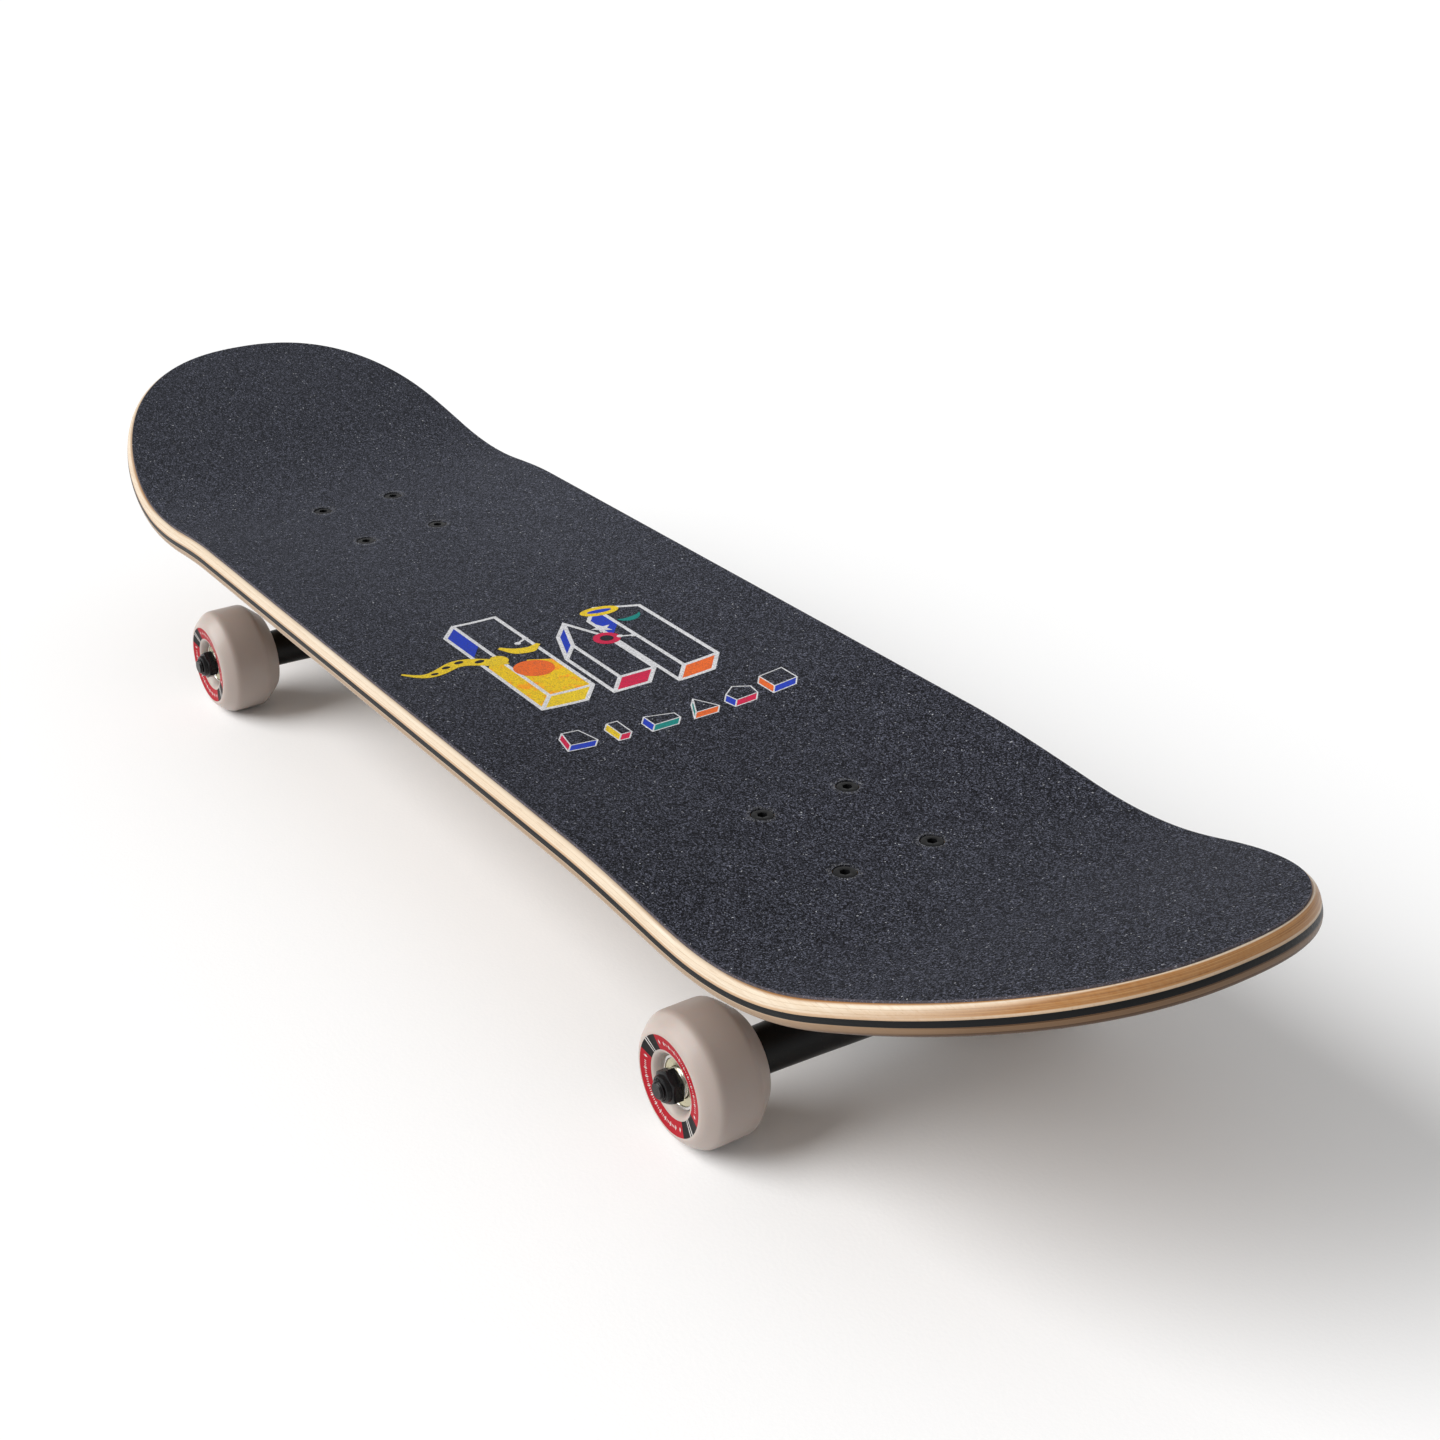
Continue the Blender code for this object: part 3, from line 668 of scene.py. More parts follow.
# %% [markdown]
# ## The grip sheet
# Grip is a thin sheet of black abrasive, stuck on and filed off flush round the edge. The same press shapes
# it. The file leaves a thin grey line round its border, and the bolt heads scuff the grit beside them. The
# grit is also painted lighter towards the tail, which is painted light. All are masks: the border is an
# attribute on the outermost points, and the scuffs and the painted light are measured in the material.

# %% Press the grip sheet
GRIP_THICKNESS = 0.95
grip, grid_u, grid_v = pressed_sheet("grip_sheet", 0.0, GRIP_TOP)
border = (np.maximum(np.abs(grid_u), np.abs(grid_v)) > 0.999).astype(np.float32)
grip.data.attributes.new("border", "FLOAT", "POINT").data.foreach_set("value", border)
apply_modifier(grip, "SOLIDIFY", thickness=GRIP_THICKNESS * MM, offset=-1, use_even_offset=True)
combine(grip, hole_cutters("grip_holes", [(5.0, 1), (5.0, -2)]))
smooth(grip, 40)


# %% Grit materials
def grit_shader(name, dark, light, sparkle, roughness):
    """Abrasive grains in two colours. Ink on the sheet is the same grit in other colours."""
    material, tree, shader, place = new_material(name, Roughness=roughness, Specular_IOR_Level=0.12)
    grit = use_group(tree, GRIT, {"Place": place, "Grains per metre": 2700.0})
    colour = blend_colours(tree, grit.outputs["Brightness"], dark, light)
    colour = blend_colours(tree, grit.outputs["Sparkle"], colour, sparkle)
    bump(tree, shader, grit.outputs["Height"], 0.00022, 0.8)
    return material, tree, shader, place, grit, colour


def scuff_mask(tree, place):
    """1 beside the bolt heads and 0 elsewhere. Folding the plane brings all eight holes to one place."""
    axes = add_node(tree, "SeparateXYZ", {0: place})
    fold_x = maths(tree, "ABSOLUTE", maths(tree, "SUBTRACT", axes.outputs[0], MIDDLE_X * MM))
    pattern_x = (OUTER_BOLT - BOLT_PITCH_LONG / 2) * MM
    fold_x = maths(tree, "ABSOLUTE", maths(tree, "SUBTRACT", fold_x, pattern_x))
    from_x = maths(tree, "SUBTRACT", fold_x, BOLT_PITCH_LONG / 2 * MM)
    from_y = maths(tree, "SUBTRACT", maths(tree, "ABSOLUTE", axes.outputs[1]), BOLT_PITCH_WIDE / 2 * MM)
    squares = maths(tree, "ADD", maths(tree, "POWER", from_x, 2.0), maths(tree, "POWER", from_y, 2.0))
    distance = maths(tree, "SQRT", squares)
    ragged = between(tree, noise(tree, place, 420.0, 3.0), 0.3, 0.7, 0.0052, 0.0078)
    near = maths(tree, "LESS_THAN", distance, ragged)
    patchy = between(tree, noise(tree, place, 1500.0, 2.0), 0.5, 0.62)
    return maths(tree, "MULTIPLY", near, patchy)


PAINTED_LIGHT_END = (-0.16, 0.10)  # along the board in metres, from the most painted light to none


def build_grip():
    material, tree, shader, place, _, colour = grit_shader(
        "grip_grit", (0.003, 0.003, 0.0045, 1), (0.18, 0.19, 0.25, 1), (0.50, 0.51, 0.54, 1), 0.85
    )
    clouds = between(tree, noise(tree, place, 14.0, 3.0), 0.35, 0.65, 0.0, 0.08)
    colour = blend_colours(tree, clouds, colour, (0.055, 0.058, 0.07, 1))
    # Painted light: the grit is blended towards a lighter grey nearer the tail.
    lengthwise = add_node(tree, "SeparateXYZ", {0: place}).outputs[0]
    painted_tail_light = between(tree, lengthwise, *PAINTED_LIGHT_END, 0.05, 0.0)
    colour = blend_colours(tree, painted_tail_light, colour, (0.25, 0.27, 0.32, 1))
    filed = maths(tree, "MULTIPLY", between(tree, attribute(tree, "border"), 0.35, 0.9), 0.3)
    colour = blend_colours(tree, filed, colour, (0.22, 0.19, 0.21, 1))
    scuffs = maths(tree, "MULTIPLY", scuff_mask(tree, place), 0.42)
    colour = blend_colours(tree, scuffs, colour, (0.30, 0.30, 0.31, 1))
    tree.links.new(colour, shader.inputs["Base Color"])
    return material


def build_ink(name, colour, second=None):
    """Ink over grit: each grain takes a slightly different amount of it."""
    deep = tuple(channel * 0.78 for channel in colour) + (1,)
    material, tree, shader, place, grit, mixed = grit_shader(
        name, deep, (*colour, 1), tuple(min(channel * 1.3, 1.0) for channel in colour) + (1,), 0.7
    )
    if second:
        blotch = between(tree, noise(tree, place, 160.0, 3.0), 0.52, 0.66, 0.0, 0.85)
        mixed = blend_colours(tree, blotch, mixed, (*second, 1))
    bare = between(tree, grit.outputs["Brightness"], 0.003, 0.03, 0.35, 0.0)
    mixed = blend_colours(tree, bare, mixed, (0.05, 0.05, 0.06, 1))
    tree.links.new(mixed, shader.inputs["Base Color"])
    return material


GRIP = build_grip()
INKS = {
    "white": build_ink("ink_white", (0.76, 0.76, 0.78)),
    "yellow": build_ink("ink_yellow", (0.90, 0.60, 0.02), (0.90, 0.30, 0.015)),
    "plain_yellow": build_ink("ink_plain_yellow", (0.88, 0.62, 0.03)),
    "orange": build_ink("ink_orange", (0.88, 0.16, 0.03)),
    "crimson": build_ink("ink_crimson", (0.68, 0.02, 0.08)),
    "blue": build_ink("ink_blue", (0.02, 0.055, 0.52)),
    "teal": build_ink("ink_teal", (0.01, 0.26, 0.23)),
    "black": build_ink("ink_black", (0.02, 0.02, 0.025)),
}
dress(grip, GRIP, "grip_sheet", "board", "grip_tape")
print("inks:", len(INKS))

# %% [markdown]
# ## The printed drawing
# The sheet carries a screen print between the trucks: building blocks drawn in outline with coloured faces,
# loose shapes among them, and a row of small solids below. A filled circle primitive gives each face: its
# points are moved to the face's corners, in across and up, where up points to the tail. The Wireframe
# modifier then turns every edge into a line of one width with clean corners, and the faces become the ink.


# %% Drawing tools
def flat_face(points):
    """A filled circle primitive with its points moved to an outline in (across, up)."""
    area = sum(ax * by - bx * ay for (ax, ay), (bx, by) in zip(points, points[1:] + points[:1]))
    if area < 0:
        points = points[::-1]
    deselect_all()
    bpy.ops.mesh.primitive_circle_add(vertices=len(points), fill_type="NGON")
    obj = bpy.context.object
    for vert, (across, up) in zip(obj.data.vertices, points):
        vert.co = (-up * MM, across * MM, 0)
    return obj


def flat_faces(name, outlines):
    obj = join(name, [flat_face(points) for points in outlines])
    pick(obj)
    bpy.ops.object.mode_set(mode="EDIT")
    bpy.ops.mesh.select_all(action="SELECT")
    bpy.ops.mesh.remove_doubles(threshold=0.01 * MM)
    bpy.ops.object.mode_set(mode="OBJECT")
    return obj


def lay_down(obj, lift, ink):
    """Cut a flat drawing into strips and bend it to the concave, a little above the grit."""
    pick(obj)
    ys = [vert.co.y / MM for vert in obj.data.vertices]
    bpy.ops.object.mode_set(mode="EDIT")
    for line in np.arange(math.floor(min(ys) / 4) * 4, max(ys), 4.0):
        if min(ys) < line < max(ys):
            bpy.ops.mesh.select_all(action="SELECT")
            bpy.ops.mesh.bisect(plane_co=(0, line * MM, 0), plane_no=(0, 1, 0))
    bpy.ops.object.mode_set(mode="OBJECT")
    places = np.empty(len(obj.data.vertices) * 3)
    obj.data.vertices.foreach_get("co", places)
    places[2::3] += (surface_height(places[0::3] / MM, places[1::3] / MM) + lift) * MM
    obj.data.vertices.foreach_set("co", places)
    obj.data.update()
    return dress(obj, INKS[ink], "grip_sheet", "board")


def draw_lines(name, outlines, width, ink="white"):
    obj = flat_faces(name, outlines)
    apply_modifier(
        obj, "WIREFRAME", thickness=width * MM, use_even_offset=True, use_boundary=True, use_replace=True
    )
    for vert in obj.data.vertices:
        vert.co.z *= 0.1 / width
    return lay_down(obj, 0.06, ink)


def fill_faces(name, outlines, ink, lift=0.05):
    obj = flat_faces(name, outlines)
    apply_modifier(obj, "SOLIDIFY", thickness=0.08 * MM, offset=-1)
    return lay_down(obj, lift, ink)


def sides_of(front, depth):
    """The side faces that a front shows when it is drawn in depth."""
    faces = []
    for (ax, ay), (bx, by) in zip(front, front[1:] + front[:1]):
        if (by - ay) * depth[0] + (ax - bx) * depth[1] > 0:
            faces.append([(ax, ay), (bx, by), (bx + depth[0], by + depth[1]), (ax + depth[0], ay + depth[1])])
    return faces


# %% Three tall blocks
DEPTH = (-10, -12)
BLOCKS = {
    "tall": [(-36, -32), (-14, -32), (-14, 60), (-36, 60)],
    "gabled": [(0, -32), (18, -32), (18, 10), (9, 34), (0, 10)],
    "sloped": [(30, -38), (48, -38), (48, 30), (30, 42)],
}
BLOCK_INKS = {"tall": ("plain_yellow", "blue"), "gabled": ("crimson", "blue"), "sloped": ("orange", "blue")}
for block_name, front in BLOCKS.items():
    sides = sides_of(front, DEPTH)
    ends = [face for face in sides if face[0][1] == face[1][1]]
    walls = [face for face in sides if face not in ends]
    fill_faces(f"{block_name}_block_foot", ends, BLOCK_INKS[block_name][0])
    draw_lines(f"{block_name}_block_lines", [front] + sides, 2.0)
    print(block_name, "block:", len(ends), "foot,", len(walls), "walls")
fill_faces("tall_block_front", [[(-36, -32), (-14, -32), (-14, 2), (-25, 8), (-36, -4)]], "yellow")
fill_faces("tall_block_wall", [[(-46, -44), (-36, -32), (-36, 20), (-46, 6)]], "yellow")
fill_faces("tall_block_roof", [[(-46, 20), (-36, 34), (-36, 60), (-46, 48)]], "blue")
fill_faces("gabled_block_roof", [[(0, 10), (9, 34), (-1, 22), (-10, -2)]], "blue")
fill_faces("sloped_block_wall", [[(20, 8), (30, 20), (30, 42), (20, 30)]], "blue")


# %% Loose shapes
def round_shape(across, up, long, wide, turn_by=0.0, count=40):
    places = [(2 * math.pi * step / count) for step in range(count)]
    cos, sin = math.cos(turn_by), math.sin(turn_by)
    flat = [(long * math.cos(a), wide * math.sin(a)) for a in places]
    return [(across + x * cos - y * sin, up + x * sin + y * cos) for x, y in flat]


def ribbon(places, widths, count=28):
    """A tapering band along a smooth line through a few places."""
    steps = np.linspace(0, len(places) - 1, count)
    keys = np.arange(len(places))
    centre = np.stack([np.interp(steps, keys, [place[axis] for place in places]) for axis in (0, 1)], axis=1)
    for _ in range(6):
        centre[1:-1] = (centre[:-2] + centre[1:-1] * 2 + centre[2:]) / 4
    along = np.gradient(centre, axis=0)
    along /= np.linalg.norm(along, axis=1)[:, None]
    out = np.stack([-along[:, 1], along[:, 0]], axis=1) * np.interp(steps, keys, widths)[:, None] / 2
    return [tuple(p) for p in centre + out] + [tuple(p) for p in (centre - out)[::-1]]


def star(across, up, size, points=5):
    corners = []
    for step in range(points * 2):
        reach = size if step % 2 == 0 else size * 0.45
        angle = math.pi * step / points + math.pi / 2
        corners.append((across + reach * math.cos(angle), up + reach * math.sin(angle)))
    return corners


def crescent(across, up, size):
    outer = [(size * math.cos(a), size * math.sin(a)) for a in np.linspace(math.pi, 2 * math.pi, 16)]
    inner = [(x, y * 0.35) for x, y in reversed(outer[1:-1])]
    return [(across + x, up + y) for x, y in outer + inner]


WAVE = [(-84, 15), (-76, 8), (-66, 12), (-56, 19), (-47, 17), (-40, 12), (-34, 12)]
wave_outline = ribbon(WAVE, (1.5, 4, 6, 7, 8, 8, 8))
fill_faces("wave", [wave_outline], "plain_yellow", 0.11)
SPOTS = [(-70, 10.5, 1.6), (-62, 15.5, 1.8), (-54, 18.8, 2.0), (-45, 16, 2.1)]
fill_faces("wave_spots", [round_shape(x, y, r * 1.3, r * 0.7, 0.3, 20) for x, y, r in SPOTS], "black", 0.14)
fill_faces("disc", [round_shape(-27, -2, 9.5, 9.0)], "orange", 0.11)
fill_faces("small_ball", [round_shape(-36, 14, 4.2, 4.6)], "plain_yellow", 0.13)
arc_outline = ribbon([(-30, 26), (-25, 19), (-18, 17), (-12, 21)], (2, 6, 6, 2))
fill_faces("arc_band", [arc_outline], "plain_yellow", 0.13)
fill_faces("crimson_ring", [round_shape(17, 8, 6.5, 6.5)], "crimson", 0.13)
fill_faces("ring_hole", [round_shape(17, 8, 3.2, 3.2)], "black", 0.15)
draw_lines("ring_edge", [round_shape(17, 8, 3.4, 3.4)], 0.5)
fill_faces("oval", [round_shape(30, 37, 9.5, 5.0, -0.25)], "plain_yellow", 0.13)
fill_faces("oval_heart", [round_shape(30, 37, 6.0, 1.9, -0.25)], "blue", 0.15)
fill_faces("crescent", [crescent(38, 24, 6.0)], "teal", 0.13)
fill_faces("white_star", [star(21, 19, 5.2)], "white", 0.15)
BARS = [((-17, 28), 0.5), ((26, 5), -0.5)]
for number, ((across, up), lean) in enumerate(BARS):
    reach = (3.2 * math.cos(lean), 3.2 * math.sin(lean))
    start, stop = (across - reach[0], up - reach[1]), (across + reach[0], up + reach[1])
    knobs = [round_shape(*end, 1.5, 1.5) for end in (start, stop)]
    for part_number, outline in enumerate([ribbon([start, stop], (1.2, 1.2), 6)] + knobs):
        fill_faces(f"white_bar_{number}_{part_number}", [outline], "white", 0.15 + 0.01 * part_number)

# %% A row of small solids
SMALL_DEPTH = (-4.0, -5.0)
SMALL_FRONTS = [
    [(-6.5, -6), (6.5, -6), (4.0, 6), (-4.0, 6)],
    [(-2.6, -6), (2.6, -6), (2.6, 6), (-2.6, 6)],
    [(-6.5, -6), (6.5, -6), (6.5, -1), (-6.5, 3)],
    [(-6, -6), (6, -6), (0, 6)],
    [(-5.5, -6), (5.5, -6), (6.5, 1), (0, 6), (-6.5, 1)],
    [(-6, -6), (6, -6), (6, 6), (-6, 6)],
]
SMALL_INKS = ["blue", "crimson", "teal", "orange", "crimson", "blue"]
WALL_INKS = ["crimson", "plain_yellow", "blue", "teal", "blue", "orange"]
for number, front in enumerate(SMALL_FRONTS):
    centre = (-47.5 + 20.5 * number, -76)
    front = [(x + centre[0], y + centre[1]) for x, y in front]
    sides = sides_of(front, SMALL_DEPTH)
    foot = [face for face in sides if face[0][1] == face[1][1]]
    walls = [face for face in sides if face not in foot]
    fill_faces(f"small_solid_{number}_foot", foot, SMALL_INKS[number])
    if walls:
        fill_faces(f"small_solid_{number}_wall", walls, WALL_INKS[number])
    draw_lines(f"small_solid_{number}_lines", [front] + sides, 0.65)
print("small solids:", len(SMALL_FRONTS))

# %% [markdown]
# ## Metal, paint and urethane
# The trucks are cast aluminium in satin black paint, the nuts and bolts are blackened steel, and the pins and
# washers are zinc plated. The wheels are cast from off-white urethane that lets in a little light. Each gets
# its fine bumps and smudges from the handling group, at a size that suits the piece.


# %% Hard materials
def hard_material(name, colour, wear_and_shade, size, rough, peel, **constants):
    """A finish with smudges and scratches from the handling group, at a given size."""
    material, tree, shader, place = new_material(name, **constants)
    marks = use_group(tree, HANDLING, {"Place": place, "Size": size})
    share = maths(tree, "MULTIPLY", marks.outputs["Scratches"], 0.35)
    share = maths(tree, "MAXIMUM", share, maths(tree, "MULTIPLY", marks.outputs["Smudges"], 0.12))
    mixed = blend_colours(tree, share, (*colour, 1), (*wear_and_shade, 1))
    tree.links.new(mixed, shader.inputs["Base Color"])
    roughness = between(tree, marks.outputs["Smudges"], 0, 1, rough[0], rough[1])
    tree.links.new(roughness, shader.inputs["Roughness"])
    height = maths(tree, "SUBTRACT", marks.outputs["Height"], marks.outputs["Scratches"])
    bump(tree, shader, height, peel * MM)
    return material


def darken_by(material, name, most, colour):
    """Blend a colour into a material where a value on its points says so."""
    tree = material.node_tree
    socket = tree.nodes["Principled BSDF"].inputs["Base Color"]
    clean = socket.links[0].from_socket
    # The colour is blended in where the value is high; on the wheels this is painted shade on the tread.
    wear_and_shade = maths(tree, "MULTIPLY", attribute(tree, name), most)
    tree.links.new(blend_colours(tree, wear_and_shade, clean, colour), socket)


# %% [markdown]
# ## The finishes
# The trucks are painted black, with a faint orange peel. The bolts and axles have a black oxide, the
# kingpins a zinc plate, and the bearings bare steel. The urethane lets some light in, and its tread is
# painted darker: painted shade, for the shade that falls on it under the deck. The ink on the wheels is
# matt, so that it doesn't shine white.

# %% Metals
TRUCK_PAINT = hard_material(
    "truck_paint", (0.003, 0.003, 0.0033), (0.02, 0.02, 0.021), 1.0, (0.34, 0.48), 0.05,
    Specular_IOR_Level=0.22,
)
BLACK_STEEL = hard_material(
    "black_oxide", (0.004, 0.004, 0.0045), (0.035, 0.035, 0.037), 0.4, (0.16, 0.3), 0.015,
    Specular_IOR_Level=0.2,
)
ZINC, RACE, SHIELD = (
    hard_material(name, colour, wear_and_shade, size, rough, peel, Metallic=1.0)
    for name, colour, wear_and_shade, size, rough, peel in (
        ("zinc_plate", (0.60, 0.60, 0.61), (0.42, 0.42, 0.43), 0.5, (0.2, 0.36), 0.01),
        ("ground_race", (0.66, 0.65, 0.63), (0.5, 0.5, 0.5), 0.3, (0.14, 0.24), 0.004),
        ("shield", (0.60, 0.57, 0.40), (0.5, 0.47, 0.3), 0.3, (0.22, 0.34), 0.006),
    )
)
print("metals", [material.name for material in (TRUCK_PAINT, BLACK_STEEL, ZINC, RACE, SHIELD)])

# %% Urethane and ink
SOFT_SHINE = {"Subsurface_Weight": 0.2, "Subsurface_Scale": 0.004, "Specular_IOR_Level": 0.35}
URETHANE = hard_material(
    "wheel_urethane", (0.42, 0.355, 0.32), (0.35, 0.29, 0.25), 0.9, (0.30, 0.42), 0.012, **SOFT_SHINE
)
# Painted shade: the tread is blended darker and browner, standing in for the shade under the deck.
darken_by(URETHANE, "tread", 0.35, (0.18, 0.14, 0.12, 1))
BUSHING = hard_material("black_urethane", (0.022, 0.022, 0.023), (0.06, 0.06, 0.06), 0.5, (0.4, 0.55), 0.02)
PRINTS = {
    ink: hard_material(f"print_{ink}", fresh, wear_and_shade, 0.4, rough, 0.008, Specular_IOR_Level=shine)
    for ink, fresh, wear_and_shade, rough, shine in (
        ("red", (0.33, 0.005, 0.014), (0.25, 0.008, 0.014), (0.4, 0.52), 0.1),
        ("white", (0.5, 0.48, 0.46), (0.42, 0.4, 0.38), (0.3, 0.42), 0.2),
        ("black", (0.004, 0.004, 0.0045), (0.02, 0.02, 0.02), (0.4, 0.52), 0.1),
    )
}
print("inks", list(PRINTS))

# %% [markdown]
# ## Where the trucks and wheels stand
# Each truck is made once, about its own axle, with its X axis towards its end of the deck. A matrix then
# stands it under the nose or, turned half round, under the tail. Two more matrices lay pieces along the
# kingpin and along the steering axis, and one points a wheel's outside away from the board on either side.

# %% Truck frames
RING_CENTRE = Vector((-30, 0, 10)) * MM
PIVOT_TIP = Vector((21, 0, 40)) * MM
KINGPIN_TILT = math.radians(28)
STEER_TILT = math.atan2(PIVOT_TIP.x - RING_CENTRE.x, PIVOT_TIP.z - RING_CENTRE.z)
TRUCK = {end: Matrix.Translation(AXLES[end]) for end in ENDS}
TRUCK["rear"] = TRUCK["rear"] @ Matrix.Rotation(math.pi, 4, "Z")
ON_KINGPIN = Matrix.Translation(RING_CENTRE) @ Matrix.Rotation(KINGPIN_TILT, 4, "Y")
ON_STEERING = Matrix.Translation(PIVOT_TIP) @ Matrix.Rotation(STEER_TILT, 4, "Y")
ALONG_AXLE = Matrix.Rotation(-math.pi / 2, 4, "X")
OUTWARD = {"left": Matrix.Rotation(-math.pi / 2, 4, "X"), "right": Matrix.Rotation(math.pi / 2, 4, "X")}


def fit_trucks(master, matrix, piece, material, slot, body="board"):
    """Copy a piece into both trucks, where it stands for the node of the same name."""
    for end in ENDS:
        rides_on = body.format(end=end)
        copy = copy_piece(master, f"{end}_{piece}_piece", TRUCK[end] @ matrix)
        dress(copy, material, slot, rides_on, f"{end}_{piece}")
    bpy.data.objects.remove(master)


def fit_wheels(master, piece, material, slot, body, replaces=True):
    """Copy a piece to the four wheel places, its height measured from the board's middle plane."""
    for end in ENDS:
        for side, outward in OUTWARD.items():
            name = f"{end}_{side}_{piece}"
            copy = copy_piece(master, f"{name}_piece", Matrix.Translation(AXLES[end]) @ outward)
            nodes = [name] if replaces else []
            dress(copy, material, slot, body.format(end=end, side=side), *nodes)
    bpy.data.objects.remove(master)


# %% [markdown]
# ## Wheels
# A wheel is cast in a turned mould and then trued on a lathe, so it is a circle carried along its profile:
# out of the bearing seat, over the slightly dished face, down the cone, round a soft shoulder to the tread,
# and back through the inner seat. The shoulders have several rings, so they stay round in a close view. The
# tread's points carry a value that tells the urethane where to paint shade on it.

# %% Turn the wheels
DISH_INSIDE, DISH_OUTSIDE = (13.8, 95.36), (20.2, 96.45)  # where the dished face starts and ends
TREAD_SHADE_START = 26.4  # the radius where the painted tread shade starts; it is full 1 mm further out
WHEEL_PROFILE = [
    (11.05, 92.2), (11.25, 92.7), (12.0, 94.0), (12.6, 94.8), (13.2, 95.2), DISH_INSIDE, DISH_OUTSIDE,
    (20.6, 96.5), (21.1, 96.42), (21.8, 96.12), (22.6, 95.6), (23.4, 94.95), (24.5, 93.7), (25.8, 92.1),
    (26.5, 91.1), (27.0, 90.2),
    (27.3, 89.3), (27.45, 88.4), (27.5, 87.6), (27.5, 74.8), (27.45, 74.0), (27.3, 73.1), (27.0, 72.3),
    (26.4, 71.4), (25.3, 70.0), (23.6, 68.0), (21.9, 66.1), (20.9, 65.0), (20.3, 64.5), (19.5, 64.2),
    (14.4, 64.2), (13.8, 64.4), (12.5, 65.7), (11.3, 67.2), (11.05, 67.8), (11.05, 75.5), (8.6, 75.5),
    (8.6, 85.1), (11.05, 85.1), (11.05, 92.2),
]
wheel = smooth(turn("wheel_master", WHEEL_PROFILE, 128), 30)
# The tread value says where the urethane gets its painted shade.
tread = [min(max(vert.co.xy.length / MM - TREAD_SHADE_START, 0), 1) for vert in wheel.data.vertices]
wheel.data.attributes.new("tread", "FLOAT", "POINT").data.foreach_set("value", tread)
fit_wheels(wheel, "wheel", URETHANE, "wheel_urethane", "{end}_{side}_wheel_set")

# %% [markdown]
# ## Prints on the wheel faces
# A pad print of red arcs and black patches runs round each outer face. It is a thin ring of ink: four
# circles, one inside the other, with 360 segments. Each face takes its ink from its angle, which makes the
# arcs, the patches with two fine bars, a broken line along each arc and a small dot at either end of it.

# %% Print the faces
PRINT_RINGS = (14.0, 16.2, 16.65, 17.65, 18.1, 20.2)
PRINT_HEIGHT = 96.49  # at the face's outside, just above it
DISH_SLOPE = (DISH_OUTSIDE[1] - DISH_INSIDE[1]) / (DISH_OUTSIDE[0] - DISH_INSIDE[0])
PATCH_CENTRE = 139
PATCH_HALF = 21


def print_ink(ring, angle):
    """The ink of one small face: its ring counts from the hub and its angle is in degrees."""
    turn_by = (angle - PATCH_CENTRE) % 180
    from_patch = min(turn_by, 180 - turn_by)
    if from_patch < PATCH_HALF:
        return "white" if 2 <= from_patch < 3.6 else "black"
    along = from_patch - PATCH_HALF
    if 5 <= along < 8:
        return "white" if ring == 2 or (ring in (1, 3) and along == 6) else "red"
    if along >= 14 and ring in (1, 2, 3):
        return "white" if ring == 2 and angle % 3 == 0 or angle % 12 == 5 else "red"
    return "red"


def build_face_print():
    rings = [(radius, PRINT_HEIGHT - (DISH_OUTSIDE[0] - radius) * DISH_SLOPE) for radius in PRINT_RINGS]
    obj = turn("face_print_master", rings, 360)
    bm = bmesh.new()
    bm.from_mesh(obj.data)
    bmesh.ops.delete(bm, geom=[face for face in bm.faces if len(face.verts) > 4], context="FACES_ONLY")
    inks = list(PRINTS)
    for face in bm.faces:
        centre = face.calc_center_median()
        radius = centre.xy.length / MM
        ring = sum(radius > edge for edge in PRINT_RINGS[1:-1])
        angle = math.floor(math.degrees(math.atan2(centre.y, centre.x)) % 360)
        face.material_index = inks.index(print_ink(ring, angle))
        if face.normal.z < 0:
            face.normal_flip()
    bm.to_mesh(obj.data)
    bm.free()
    for ink in inks:
        obj.data.materials.append(PRINTS[ink])
    return apply_modifier(obj, "SOLIDIFY", thickness=0.06 * MM, offset=-1)


fit_wheels(build_face_print(), "face_print", None, "wheel_urethane", "{end}_{side}_wheel_set", False)

# %% [markdown]
# ## Bearings
# Two ball bearings sit in each wheel. What shows is the ground outer race, a pressed shield sunk a little
# below it, and the inner race that the nut clamps. The outer race and its shields turn with the wheel. The
# inner race stays with the axle, and so do the thin speed washers that keep the nut off the wheel.

# %% Turn the bearings
OUTER_START, INNER_START = 85.3, 68.3
RACE_PROFILE = [
    (10.6, 0), (11.0, 0.35), (11.0, 6.65), (10.65, 7.0), (9.75, 7.0), (9.6, 6.85), (9.6, 6.2), (8.4, 6.2),
    (8.4, 0.8), (9.6, 0.8), (9.6, 0.15), (9.75, 0), (10.6, 0),
]
SHIELD_PROFILE = [
    (9.58, 6.3), (9.45, 6.55), (9.1, 6.62), (8.7, 6.5), (8.3, 6.44), (7.1, 6.44), (6.6, 6.36), (6.35, 6.1),
    (6.35, 5.8), (8.2, 5.8), (8.2, 1.2), (6.35, 1.2), (6.35, 0.9), (6.6, 0.64), (7.1, 0.56), (8.3, 0.56),
    (8.7, 0.5), (9.1, 0.38), (9.45, 0.45), (9.58, 0.7), (9.2, 1.0), (9.2, 6.0), (9.58, 6.3),
]
INNER_RACE_PROFILE = [
    (4.3, 0), (4.1, 0.3), (4.1, 6.7), (4.35, 7.0), (5.95, 7.0), (6.15, 6.8), (6.15, 0.2), (5.95, 0), (4.3, 0),
]
for which, start in (("outer", OUTER_START), ("inner", INNER_START)):
    for part_name, profile, material, moves in (
        ("bearing", RACE_PROFILE, RACE, True),
        ("shields", SHIELD_PROFILE, SHIELD, True),
        ("inner_race", INNER_RACE_PROFILE, RACE, False),
    ):
        master = turn("bearing_master", [(radius, start + height) for radius, height in profile], 96)
        smooth(master, 30)
        body = "{end}_{side}_wheel_set" if moves else "{end}_hanger_set"
        replaces = part_name == "bearing"
        fit_wheels(master, f"{which}_{part_name}", material, "bearing_steel", body, replaces)

